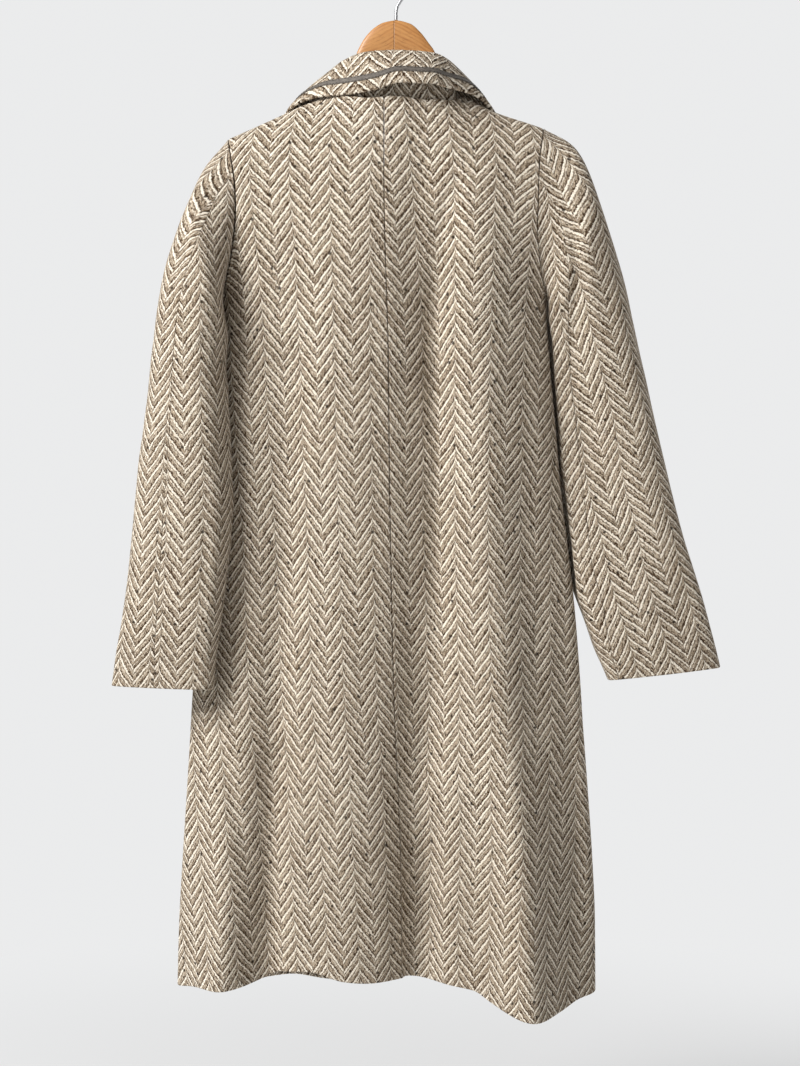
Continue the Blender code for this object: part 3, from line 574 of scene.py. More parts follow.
def makeMesh(name, points, faces, uvs, material):
    mesh = bpy.data.meshes.new(name)
    mesh.from_pydata((np.asarray(points) * mm).tolist(), [], faces)
    mesh.update()
    mesh.polygons.foreach_set("use_smooth", np.ones(len(mesh.polygons), bool))
    if uvs is not None:
        layer = mesh.uv_layers.new(name="cloth")
        corners = np.empty(len(mesh.loops), np.int32)
        mesh.loops.foreach_get("vertex_index", corners)
        layer.data.foreach_set("uv", (np.asarray(uvs)[corners] * mm).astype(np.float32).ravel())
    mesh.materials.append(material)
    obj = bpy.data.objects.new(name, mesh)
    bpy.context.scene.collection.objects.link(obj)
    return obj


def tubeFaces(rings, around):
    # quads from ring to ring, and one flat face on each end
    ring = np.arange(around)
    faces = []
    for i in range(rings - 1):
        here, there = i * around + ring, i * around + np.roll(ring, -1)
        faces += np.stack([here, there, there + around, here + around], axis=1).tolist()
    return faces + [ring[::-1].tolist(), ((rings - 1) * around + ring).tolist()]


def roundPoints(centre, across, other, radius, count):
    # points round a centre, from one direction towards the other
    angles = 2 * math.pi * np.arange(count)[:, None] / count
    return centre + radius * (np.cos(angles) * across + np.sin(angles) * other)


def outward(obj):
    shape = bmesh.new()
    shape.from_mesh(obj.data)
    bmesh.ops.recalc_face_normals(shape, faces=shape.faces)
    shape.to_mesh(obj.data)
    shape.free()


def plainMesh(obj):
    # what its modifiers make of the object becomes its own mesh
    graph = bpy.context.evaluated_depsgraph_get()
    mesh = bpy.data.meshes.new_from_object(obj.evaluated_get(graph))
    obj.modifiers.clear()
    obj.data = mesh
    mesh.shade_smooth()
    return mesh


def gridFaces(rows, columns):
    i, j = np.meshgrid(np.arange(rows - 1), np.arange(columns - 1), indexing="ij")
    corner = (i * columns + j).ravel()
    return np.stack([corner, corner + 1, corner + columns + 1, corner + columns], axis=1)


def volumeOf(points, faces):
    corners = points[faces]
    first = np.einsum("ij,ij->i", corners[:, 0], np.cross(corners[:, 1], corners[:, 2]))
    second = np.einsum("ij,ij->i", corners[:, 0], np.cross(corners[:, 2], corners[:, 3]))
    return (first + second).sum()


def shell(name, points, normals, uvs, edges, material, thick=None):
    # edges names what is done to the first row, last row, first column and last column:
    # "free" is a turned edge, "sewn" a seam, "pressed" a seam that hardly shows, None is left
    thick = np.full(points.shape[:2], form["cloth"]) if thick is None else thick
    grid = np.concatenate([points, normals, uvs, thick[..., None]], axis=-1)
    grid = withEdgeRows(grid, edges)
    points, normals, uvs, thick = grid[..., :3], unit(grid[..., 3:6]), grid[..., 6:8], grid[..., 8]
    swell = np.ones(points.shape[:2])
    sink = np.zeros(points.shape[:2])
    line = np.zeros(points.shape[:2])
    for kind, distance in zip(edges, edgeDistance(points)):
        if kind == "free":
            reach = np.maximum(finish["freeRound"], thick * finish["freeShare"])
            near = np.clip(distance / reach, 0, 1)
            swell = np.minimum(swell, np.maximum(np.sqrt(1 - (1 - near) ** 2), finish["freeThin"]))
        elif kind:
            near = np.clip(distance / finish["seamWide"], 0, 1)
            sink = np.maximum(sink, finish["seamDeep"][kind] * (1 - np.sqrt(1 - (1 - near) ** 2)))
            # a dark line along each seam: its stitch line, and painted shade in the seam's groove, passed to
            # the material as the "seam" attribute
            line = np.maximum(line, finish["seamShade"][kind] * (1 - smooth(distance / finish["shadeWide"])))
    half = thick[..., None] / 2
    middle = points - normals * half
    outer = middle + normals * (half * swell[..., None] - sink[..., None])
    inner = middle - normals * half * swell[..., None]
    rows, columns = points.shape[:2]
    under = rows * columns
    faces = gridFaces(rows, columns)
    rim = np.concatenate([np.arange(columns), np.arange(1, rows) * columns + columns - 1,
                          (rows - 1) * columns + np.arange(columns - 2, -1, -1),
                          np.arange(rows - 2, 0, -1) * columns])
    following = np.roll(rim, -1)
    band = np.stack([following, rim, rim + under, following + under], axis=1)
    faces = np.concatenate([faces, faces[:, ::-1] + under, band])
    all3d = np.concatenate([outer.reshape(-1, 3), inner.reshape(-1, 3)])
    if volumeOf(all3d, faces) < 0:
        faces = faces[:, ::-1]
    bothUvs = np.concatenate([uvs.reshape(-1, 2)] * 2)
    obj = makeMesh(name, all3d, faces.tolist(), bothUvs, material)
    dark = obj.data.attributes.new("seam", "FLOAT", "POINT")
    dark.data.foreach_set("value", np.concatenate([line.ravel()] * 2).astype(np.float32))
    return obj


weave = {
    "half": 0.0187,  # metres: half a herringbone column
    "period": 0.0136,  # one stripe and the next, down the cloth
    "rise": 1.9,  # stripes that a half column climbs
    "shift": 0.27,  # how far, in stripes, one half lies below the other where they meet
    "spike": 0.16,  # how far a stripe's point runs on at a peak
    "cream": (0.88, 0.795, 0.665, 1),
    "pale": (0.70, 0.595, 0.455, 1),
    "light": (0.52, 0.425, 0.315, 1),
    "taupe": (0.33, 0.255, 0.178, 1),
    "brown": (0.135, 0.086, 0.048, 1),
    "dark": (0.036, 0.016, 0.005, 1),
    "fleck": (0.012, 0.007, 0.004, 1),
    "haze": (0.28, 0.21, 0.14, 1),
}


def woolMaterial(name):
    s = Shade(name, (0.42, 0.36, 0.29, 1))
    place = s.onCloth()
    u, v = place.parts("XY")
    wander = s.noise(place, 30.0, 2.0)
    fine = s.noise(place, 260.0, 2.0, 0.6)
    u = u + (wander - 0.5) * 0.0024 + (fine - 0.5) * 0.0010
    slow = s.noise(s.vector(v, u * 0.6, 3.0), 45.0, 1.0)
    column = (u / weave["half"]).floor()
    zig = s.pingpong(u / weave["half"], 1.0)
    other = abs((column * 0.5).fract() - 0.5) * 2.0
    point = (1 - zig).power(22.0)
    climb = v / weave["period"] - zig * weave["rise"] + point * weave["spike"] - other * weave["shift"]
    ragged = s.noise(place, 650.0, 1.0)
    climb = climb + (slow - 0.5) * 0.34 + (fine - 0.5) * 0.30 + (ragged - 0.5) * 0.34
    stripe = climb.fract()
    chance = s.random(s.vector(column, climb.floor(), 0.5))
    luck = s.random(s.vector(climb.floor(), column, 7.5))

    def drawn(long, close, number, detail=1.0, rough=0.5):
        # noise drawn out along the stripes
        return s.noise(s.vector(u / long, climb * close, number), 1.0, detail, rough)

    threads = drawn(0.0075, 11.0, 9.0, 2.0, 0.6)
    dashes = drawn(0.0022, 6.2, 0.0)
    nicks = drawn(0.0020, 5.0, 5.0)
    specks = drawn(0.0011, 12.0, 4.0)
    yarn = drawn(0.0011, 5.0, 2.0, 2.0)

    def line(at, core, edge):
        # a line along every stripe, at a place from 0 to 1 down it
        return 1 - abs(stripe - at).step(core, edge)

    gap = line(0.085, 0.065, 0.125) * (0.6 + 0.4 * nicks.step(0.36, 0.50))
    bold = line(0.275, 0.078 + 0.03 * chance, 0.135 + 0.035 * chance)
    shadow = line(0.465 + 0.03 * luck, 0.02, 0.075) * nicks.step(0.44, 0.56)
    thin = line(0.77 - 0.14 * luck, 0.02, 0.075) * (threads + 0.25 * luck).step(0.50, 0.66)
    bar = 1 - stripe.step(0.55 + 0.15 * luck, 0.85)
    tone = (threads.step(0.36, 0.62) * 0.75 + chance * 0.35 + bar * 0.3 - 0.2).most(0.0).least(1.0)

    cells = ({"voronoi_dimensions": "2D"}, {"Vector": s.vector(u, v * 0.8), "Scale": 40.0})
    nubs = s.add("ShaderNodeTexVoronoi", *cells)
    pick = s.add("ShaderNodeTexVoronoi", *cells, "Color")
    fleck = (1 - (nubs + (fine - 0.5) * 0.08).step(0.035, 0.085)) * pick.part("X").step(0.50, 0.54)
    grit = s.noise(s.vector(u, v, 1.0), 700.0, 1.0)
    # the "seam" attribute: painted shade in each seam's groove, together with its stitch line
    seam = s.add("ShaderNodeAttribute", {"attribute_name": "seam"}, {}, "Fac")
    cloud = s.noise(place, 7.0, 3.0)

    # each layer covers a share of those before it
    colour = s.mix(tone, weave["brown"], weave["light"])
    for share, tint in (
        (0.18, "taupe"),
        (specks.step(0.52, 0.62) * 0.8, "pale"),
        (thin * 0.85, "cream"),
        (dashes.step(0.52, 0.60) * (1.0 - 0.35 * bar), "dark"),
        (shadow * 0.85, "dark"),
        (gap, "dark"),
        (bold * (0.72 + 0.5 * threads).least(1.0), "cream"),
        (fleck * 0.92, "fleck"),
        ((1 - grit.step(0.34, 0.50)) * 0.34, "dark"),
        # painted shade of the seams' grooves, with their stitch lines
        (seam * (0.45 + 0.4 * threads.step(0.3, 0.6)), "dark"),
        (cloud.step(0.3, 0.7) * 0.10, "haze"),
    ):
        colour = s.mix(share, colour, weave[tint])

    height = bold * 0.7 + thin * 0.3 - gap * 0.8 - shadow * 0.35 - dashes.step(0.5, 0.65) * 0.4 + yarn * 0.6
    normal = s.bump(height, 0.62, 0.0010)
    return s.finish(Base_Color=colour, Roughness=0.95 - 0.1 * bold, Normal=normal,
                    Sheen_Weight=0.035, Sheen_Roughness=0.5, Specular_IOR_Level=0.06)


wool = woolMaterial("herringbone_wool")
print("cloth material made")


grain = {
    "fullColumn": 37.4,  # two halves of the herringbone in the material
    "sleeveColumn": 42.0,  # the same on the sleeves
    # on each body piece one peak line and the columns' width beside it
    (back, left): Table(
        "drop x wide", (150, 26.3, 49), (200, 25.5, 48.5), (280, 29.8, 47.0), (360, 29.9, 44.0),
        (440, 29.9, 42.0), (565, 28.7, 40.3), (650, 27.6, 38.9), (720, 26.4, 38.2),
        (805, 24.2, 38.0), (885, 21.9, 37.8), (960, 16.2, 37.8), (1045, 12.7, 37.5),
        (1120, 9.2, 37.0), (1200, 5.8, 36.4),
    ),
    (back, right): Table(
        "drop x wide", (150, -8.5, 52), (200, -10.3, 51.0), (280, -18.4, 47.5), (360, -24.1, 44.5),
        (440, -29.8, 42.5), (520, -31.0, 41.0), (650, -31.0, 39.5), (725, -33.4, 38.8),
        (805, -35.2, 38.0), (890, -38.0, 37.6), (965, -37.0, 37.2), (1045, -40.3, 36.6),
        (1120, -39.5, 36.2), (1200, -38.8, 35.8),
    ),
    (front, left): Table("drop x wide", (150, 27, 49), (400, 27, 42), (700, 27, 38.2), (1200, 27, 36.6)),
    (front, right): Table("drop x wide", (150, -9, 49), (400, -9, 42), (700, -9, 38.2), (1200, -9, 36.6)),
    "topDrop": 150,
    "topPeriod": 14.9,  # stripe spacing there, and how much closer it gets each millimetre down
    "closer": 0.0021,
    "overFolds": 0.55,  # share of a fold's depth that counts, as the columns stay even in the photo
}


def stripesDown(down):
    # length on the cloth whose stripes sit as far apart as they do at that place of the coat
    top, closer = grain["topPeriod"], grain["closer"]
    count = -np.log(np.maximum(1 - closer * (down - grain["topDrop"]) / top, 0.05)) / closer
    return count * weave["period"] / mm


def bodyUvs(face, side, points):
    # columns are counted from the peak line, over the folds
    table = grain[face, side]
    x, drop = points[..., 0], -points[..., 2]
    over = lengthsAlong(points[..., :2] * (1, grain["overFolds"]), 1)
    line, wide = table.at("x", drop), table.at("wide", drop)
    zero = np.array([np.interp(0, (side * (row - at))[: len(row)], lengths, left=np.nan)
                     for row, at, lengths in zip(x, line, over)])
    first = side * (x[:, 0] - line[:, 0])
    zero = np.where(np.isnan(zero), -first, zero)
    u = (over - zero[:, None]) / wide * grain["fullColumn"]
    # down the cloth, over the shoulder
    lengths = np.hypot(*np.moveaxis(np.diff(points[..., 1:], axis=0), -1, 0))
    pit = int(np.argmin(np.abs(drop[:, -1] - form["armpit"])))
    down = drop.copy()
    for i in range(pit - 1, -1, -1):
        steep = np.minimum(lengths[i], 1.6 * np.abs(drop[i + 1] - drop[i]) + 0.4)
        down[i] = down[i + 1] - steep
    return np.stack([side * u, stripesDown(down)], axis=-1)


bodyGrid = {"upper": 55, "lower": 175, "columns": 84}


def makeBodyGrids():
    v = np.concatenate([np.linspace(0, 1, bodyGrid["upper"] + 1),
                        1 + np.arange(1, bodyGrid["lower"] + 1) / bodyGrid["lower"]])
    a = np.linspace(0, 1, bodyGrid["columns"] + 1)
    grids = {}
    for face in (back, front):
        for side in (left, right):
            points = bodyPoints(face, side, a[None, :], v[:, None])
            normals = normalsOf(points)
            if normals[bodyGrid["upper"] + 20, 10, 1] * face < 0:
                normals = -normals
            low = bodyGrid["upper"] + 1
            normals[low:, -1] = without(normals[low:, -1], (0, 1, 0))
            first = round(bodyGrid["columns"] * form["neckShare"]) if face == back else 0
            normals[0, first:] = without(normals[0, first:], (0, 1, 0))
            if face == back:
                normals[:, 0] = without(normals[:, 0], (1, 0, 0))
            grids[face, side] = [points, normals]
    return grids


# x, y and drop of the outer (o) and inner (i) side, and how far a sleeve bulges behind and before them.
sleeves = {
    left: Table(
        "along ox oy od ix iy id behind before",
        (0, 198.3, 0, 219.7, 205, 0, 411, 55, 50),
        (50, 226.7, 4, 259.7, 203, 22, 417, 54, 55),
        (108, 245, 8, 315, 197, 42, 432, 57, 56),
        (160, 259.6, 12, 365.4, 194.5, 49, 456, 55, 54),
        (206, 270, 15, 410, 198, 49, 484, 52, 50),
        (268, 278.4, 18, 471, 196, 52, 522, 48, 44),
        (338, 285.5, 20, 541.6, 194, 54, 577, 44, 40),
        (410, 296, 20, 612, 192.5, 55, 636, 42, 37),
        (481, 303.1, 20, 682.5, 195, 58, 700, 38, 34),
        (534, 310, 20, 735, 199.5, 59, 748, 34, 31),
        (588, 318.3, 20, 788.2, 204.5, 58, 797, 30, 27),
        (624, 325.4, 20, 823.4, 208, 56, 830, 26, 24),
        (666, 332.4, 20, 864.5, 210.5, 53, 866.5, 21, 20),
    ),
    right: Table(
        "along ox oy od ix iy id behind before",
        (0, -172.8, 0, 206.7, -177.5, 0, 411, 55, 50),
        (50, -209.8, 1, 228, -180, -8, 419, 54, 50),
        (108, -241.9, 2, 296.9, -178, -22, 437, 56, 50),
        (175, -263.2, 2, 362.1, -174, -32, 460, 53, 48),
        (212, -272.7, 2, 397.7, -172, -36, 482, 50, 46),
        (270, -284.6, 1, 454.7, -172, -38, 520, 46, 44),
        (350, -302.4, 0, 533, -177, -36, 583, 42, 41),
        (430, -321.4, -1, 612.4, -185, -28, 650, 38, 38),
        (514, -342.7, -2, 694.3, -196, -14, 722, 33, 34),
        (575, -360.5, -2, 752.4, -217, -1, 772, 29, 31),
        (640, -378.3, -2, 816.5, -238, 2, 830, 25, 26),
        (670, -385.4, -2, 845, -251.4, 3, 860.4, 21, 21),
    ),
}
sleeveForm = {
    "square": 0.58,
    "elbow": Table("along left right", (0, 98, 98), (60, 90, 98), (110, 86, 100), (300, 84, 104),
                   (480, 84, 118), (670, 88, 150)),
    "elbowColumn": {left: 5, right: 6},  # of the 23 round the armhole
    "forearmColumn": 15,
    "finer": 5,  # columns for each of those
    "clear": 4.0,
    "clearFrom": 12,  # the sleeve stands clear of the body from here on, within "clearOver"
    "clearOver": 30,
    "capLong": 110.0,  # how far down the armhole's form can be felt
    "calmFrom": 20,  # nothing creases at the armhole seam
    "calmOver": 40,
    "ringGap": 5.0,
    "frontTurn": 1.3 * math.pi,
}
# Creases of the sleeves: degrees round and millimetres down the sleeve of both ends, height and width.
sleeveCreases = {
    left: (
        (60, 60, 72, 300, -2.8, 10), (120, 110, 128, 330, 1.5, 13), (30, 250, 88, 330, -1.6, 11),
        (60, 330, 130, 400, -1.8, 10), (45, 420, 62, 520, 1.2, 12), (38, 556, 82, 560, -1.5, 5),
        (128, 380, 150, 560, -2.0, 12), (150, 200, 110, 260, -1.8, 10),
        (320, 300, 270, 380, -2.0, 11), (300, 180, 330, 300, -1.6, 13), (300, 360, 240, 450, 1.8, 12),
    ),
    right: (
        (84, 40, 96, 300, -4.2, 13), (62, 70, 70, 280, 2.2, 15), (96, 290, 92, 470, -3.2, 14),
        (60, 330, 48, 560, 1.8, 18), (120, 230, 78, 330, -1.4, 10), (40, 360, 96, 440, -1.5, 11),
        (70, 520, 96, 640, 1.5, 12), (40, 560, 70, 640, -1.1, 10),
        (320, 300, 270, 370, -2.0, 11), (300, 180, 330, 300, -1.6, 13), (300, 380, 240, 470, 1.8, 12),
    ),
}


def insideBody(points, margin):
    x, y, drop = points[..., 0], points[..., 1], -points[..., 2]
    side = np.where(x > form["centreFront"], 1, -1)
    seam = ofSide(form["sideSeams"], side, drop)
    middle = form["centreBack"].at("x", drop)
    width = np.abs(ofSide(form["sides"], side, drop) - middle) + margin
    behind = y >= seam
    depth = np.where(behind, form["depths"].at("back", drop), form["depths"].at("front", drop)) + margin
    height = np.where(behind, foldHeight(folds[back], x, drop), foldHeight(folds[front], x, drop))
    u = np.clip(np.abs(x - middle) / width, 0, 1)
    reach = depth * (1 - u * u) ** (form["fullness"] / 2) + np.maximum(height, 0) * (1 - u**6)
    return (np.abs(y - seam) < reach) & (np.abs(x - middle) < width) & (drop > form["armpit"] - 4)


def pushedOut(points, away, held, furthest, rounds):
    # how far along its way each held point has to go to be free
    low, high = np.zeros(points.shape[:-1]), np.full(points.shape[:-1], furthest)
    inside = held(points)
    for _ in range(rounds):
        half = (low + high) / 2
        still = held(points + half[..., None] * away)
        low, high = np.where(still, half, low), np.where(still, high, half)
    return np.where(inside, high, 0)[..., None] * away


def clearOfSide(points, side, margin):
    # away from the body's core
    drop = -points[..., 2]
    core = np.stack([ofSide(form["sides"], side, drop) - side * 75, ofSide(form["sideSeams"], side, drop),
                     points[..., 2]], axis=-1)
    return pushedOut(points, unit(points - core), lambda spots: insideBody(spots, margin), 70.0, 12)


def armholeLoop(side, grids):
    # from the shoulder down the back, round the armpit and up the front, then across the shoulder
    upper, gap = bodyGrid["upper"], sleeveForm["finer"]
    behind, before = ([grid[: upper + 1, -1] for grid in grids[face, side]] for face in (back, front))
    sewn = np.concatenate([behind, np.array(before)[:, -2::-1]], axis=1)
    share = np.arange(1, gap)[:, None] / gap
    across = sewn[:, -1:] * (1 - share) + sewn[:, :1] * share
    loop, normals = np.concatenate([sewn, [across[0], unit(across[1])]], axis=1)
    return loop, normals


def sleeveOval(table, along, turns):
    outer = np.array([table.at("ox", along), table.at("oy", along), -table.at("od", along)])
    inner = np.array([table.at("ix", along), table.at("iy", along), -table.at("id", along)])
    deep = np.where(np.sin(turns) >= 0, table.at("behind", along), table.at("before", along))
    reach = deep * np.sign(np.sin(turns)) * np.abs(np.sin(turns)) ** sleeveForm["square"]
    middle, half = (outer + inner) / 2, (outer - inner) / 2
    lean = unit(np.cross(unit(half), np.cross((0, 1, 0), unit(half))))
    return middle + np.cos(turns)[:, None] * half + reach[:, None] * lean


def makeSleeveGrid(side, grids):
    loop, bodyNormals = armholeLoop(side, grids)
    table = sleeves[side]
    length = table.column["along"][-1]
    stations = np.linspace(0, length, round(length / sleeveForm["ringGap"]) + 1)
    base = np.linspace(0, 2 * math.pi, len(loop) + 1)
    seamTurn = base[sleeveForm["elbowColumn"][side] * sleeveForm["finer"]]
    frontOn = (sleeveForm["frontTurn"], 2 * math.pi)
    first = sleeveOval(table, 0.0, base[:-1])
    rings, turned = [], []
    for along in stations:
        elbow = math.radians(float(ofSide(sleeveForm["elbow"], side, along)))
        turns = np.interp(base, (0, seamTurn, *frontOn), (0, elbow, *frontOn))[:-1]
        share = float(smooth(1 - along / sleeveForm["capLong"]))
        turns = base[:-1] * share + turns * (1 - share)
        ring = sleeveOval(table, along, turns) + (loop - first) * share
        free = float(smooth((along - sleeveForm["clearFrom"]) / sleeveForm["clearOver"]))
        ring = ring + clearOfSide(ring, side, sleeveForm["clear"]) * free
        rings.append(ring)
        turned.append(turns)
    rings = np.array(rings)
    # soften what the body has pushed in
    for _ in range(6):
        ahead, behind = np.roll(rings, 1, axis=1), np.roll(rings, -1, axis=1)
        rings[3:] = rings[3:] * 0.5 + (ahead[3:] + behind[3:]) * 0.25
    for _ in range(4):
        rings[3:-1] = rings[3:-1] * 0.5 + (rings[2:-2] + rings[4:]) * 0.25
    turned = np.array(turned)
    points = np.concatenate([rings, rings[:, :1]], axis=1)
    normals = normalsOf(points, wrap=True)
    middle = points[:, :-1].mean(axis=1, keepdims=True)
    if ((points[30:, :-1] - middle[30:]) * normals[30:, :-1]).sum() < 0:
        normals = -normals
    girth = np.linalg.norm(np.diff(points, axis=1), axis=-1).sum(axis=1)[:, None]
    turned = np.concatenate([turned, turned[:, :1] + 2 * math.pi], axis=1)
    calm = smooth((stations[:, None] - sleeveForm["calmFrom"]) / sleeveForm["calmOver"])
    degrees, perDegree, along = np.degrees(turned), girth / 360, stations[:, None]
    height = sum(creaseHeight(sleeveCreases[side], degrees + lap, along, perDegree, 0.4) for lap in (0, 360))
    waved = waveHeight(degrees * perDegree, along, 0.1 if side == left else 0.55)
    seamless = np.abs(np.sin(turned / 2)) ** 0.5  # the waves meet where the ring closes
    points = points + normals * ((height + waved * seamless) * calm)[..., None]
    creased = normalsOf(points, wrap=True)
    normals = creased * np.sign((creased * normals).sum(-1, keepdims=True))
    # where sleeve and armhole meet, both walls share one slant
    own = normals[0, :-1]
    slant = (own[:, 0] + bodyNormals[:, 0]) / 2
    steep = side * own[:, 0] > side * slant
    own[steep, 0] = slant[steep]
    bodyNormals[steep, 0] = slant[steep]
    normals[0, :-1] = unit(own)
    normals[0, -1] = normals[0, 0]
    for k, share in enumerate(np.linspace(1, 0, 4)[1:-1], 1):
        normals[k] = unit(normals[k] * (1 - share) + normals[0] * share)
    points[0, :, 0] += side * form["armholeGap"]
    return points, normals, unit(bodyNormals)


# One line of the herringbone down each piece of a sleeve: x and drop on the side that faces back.
sleeveGrain = {
    ("top", left): Table(
        "drop x", (200, 225), (290, 252), (360, 262), (418, 264.5), (521, 268), (602, 265.5), (642, 263.4),
        (682, 265.7), (723, 269), (763, 273.7), (803, 277), (844, 283),
    ),
    ("under", left): Table(
        "drop x", (200, 205), (280, 217), (360, 222), (521, 223), (660, 219.7), (803, 220.8), (844, 223),
    ),
    ("top", right): Table(
        "drop x", (200, -196), (280, -217.4), (360, -236.9), (401, -249.6), (441, -258.8), (481, -271.4),
        (521, -284), (562, -296.7), (602, -304.8), (642, -314), (683, -328.9),
        (723, -338), (763, -350.8), (803, -364.6), (845, -378),
    ),
    ("under", right): Table(
        "drop x", (200, -186), (280, -190), (360, -200), (480, -207), (600, -216), (720, -232), (845, -250),
    ),
}


def spread(points, acrossWay, downWay):
    # U and V whose steps between neighbouring points best match the distances across and down the grain
    over, down = np.diff(points, axis=1), np.diff(points, axis=0)
    overLong = np.maximum(np.linalg.norm(over, axis=-1), 1e-6)
    downLong = np.maximum(np.linalg.norm(down, axis=-1), 1e-6)
    rowHigh = np.pad(downLong, ((0, 1), (0, 0)), mode="edge")
    columnWide = np.pad(overLong, ((0, 0), (0, 1)), mode="edge")
    overWeight = ((rowHigh[:, 1:] + rowHigh[:, :-1]) / 2 / overLong)[..., None]
    downWeight = ((columnWide[1:] + columnWide[:-1]) / 2 / downLong)[..., None]
    ways = np.stack([acrossWay, downWay], axis=-1)
    overWanted = np.einsum("ijk,ijkm->ijm", over, (ways[:, 1:] + ways[:, :-1]) / 2)
    downWanted = np.einsum("ijk,ijkm->ijm", down, (ways[1:] + ways[:-1]) / 2)

    def gather(overPart, downPart):
        total = np.zeros(points.shape[:2] + (2,))
        total[:, 1:] += overPart
        total[:, :-1] -= overPart
        total[1:] += downPart
        total[:-1] -= downPart
        return total

    def apply(field):
        return gather(overWeight * np.diff(field, axis=1), downWeight * np.diff(field, axis=0))

    field = np.concatenate([np.zeros((1, 2)), np.cumsum(downWanted[:, 0], axis=0)])[:, None]
    field = field + np.concatenate([np.zeros((len(points), 1, 2)), np.cumsum(overWanted, axis=1)], axis=1)
    diagonal = np.zeros_like(field)
    diagonal[:, 1:] += overWeight
    diagonal[:, :-1] += overWeight
    diagonal[1:] += downWeight
    diagonal[:-1] += downWeight
    rest = gather(overWeight * overWanted, downWeight * downWanted) - apply(field)
    ready = rest / diagonal
    way, size = ready.copy(), (rest * ready).sum(axis=(0, 1))
    for _ in range(700):
        applied = apply(way)
        stride = size / np.maximum((way * applied).sum(axis=(0, 1)), 1e-12)
        field += stride * way
        rest -= stride * applied
        ready = rest / diagonal
        larger = (rest * ready).sum(axis=(0, 1))
        way = ready + larger / np.maximum(size, 1e-12) * way
        size = larger
    return field


def sleeveUvs(piece, side, points, normals):
    table = sleeveGrain[piece, side]
    drop = -points[..., 2]
    slope = (table.at("x", drop + 12) - table.at("x", drop - 12)) / 24
    grainWay = np.stack([slope, np.zeros_like(slope), -np.ones_like(slope)], axis=-1)
    downWay = unit(grainWay - (grainWay * normals).sum(-1, keepdims=True) * normals)
    acrossWay = unit(np.cross(normals, downWay))
    facing = acrossWay[..., 0] * normals[..., 1]
    acrossWay = acrossWay * np.sign(facing.sum())
    field = spread(points, acrossWay, downWay)
    # the reference line's U is nought, and V follows the drop on average
    away = np.abs(points[..., 0] - table.at("x", drop)) + np.where(normals[..., 1] > 0, 0, 500)
    near = away.argmin(axis=1)
    rows = np.arange(len(points))
    good = away[rows, near] < 8
    offsets = field[rows, near][good] - np.stack([np.zeros(good.sum()), drop[rows, near][good]], axis=-1)
    field = field - np.median(offsets, axis=0)
    u = field[..., 0] / grain["sleeveColumn"] * grain["fullColumn"]
    return np.stack([u, stripesDown(field[..., 1])], axis=-1)


cloths = {}


def makeBodyAndSleeves():
    grids = makeBodyGrids()
    names = {left: "left", right: "right"}
    upper = bodyGrid["upper"]
    for side in (left, right):
        points, normals, bodyNormals = makeSleeveGrid(side, grids)
        grids[back, side][1][: upper + 1, -1] = bodyNormals[: upper + 1]
        grids[front, side][1][: upper + 1, -1] = bodyNormals[2 * upper: upper - 1: -1]
        finer = sleeveForm["finer"]
        count = points.shape[1] - 1
        elbow = sleeveForm["elbowColumn"][side] * finer
        forearm = sleeveForm["forearmColumn"] * finer
        for piece, start, stop in (("under", elbow, forearm), ("top", forearm, elbow + count)):
            columns = np.arange(start, stop + 1) % count
            part = points[:, columns].copy()
            uvs = sleeveUvs(piece, side, part, normals[:, columns])
            for edge, nextIn in ((part[:, 0], part[:, 1]), (part[:, -1], part[:, -2])):
                edge += form["seam"] * unit(nextIn - edge)
            name = f"sleeve_{piece}_{names[side]}"
            cloths[name] = shell(name + "_cloth", part, normals[:, columns], uvs,
                                 ("sewn", "free", "pressed", "pressed"), wool)
        print("sleeve made:", names[side])
    for (face, side), (points, normals) in grids.items():
        uvs = bodyUvs(face, side, points)
        first = round(bodyGrid["columns"] * form["neckShare"]) if face == back else 0
        points[:, -1] += form["seam"] * unit(points[:, -2] - points[:, -1])
        if face == back:
            points[:, 0] += form["seam"] * unit(points[:, 1] - points[:, 0])
        points[0, first:, 1] += face * form["seam"]
        name = ("back_" if face == back else "front_") + names[side]
        edges = ("sewn", "free", "sewn" if face == back else "free", "sewn")
        cloths[name] = shell(name + "_cloth", points, normals, uvs, edges, wool)
        print("body piece made:", name)


makeBodyAndSleeves()


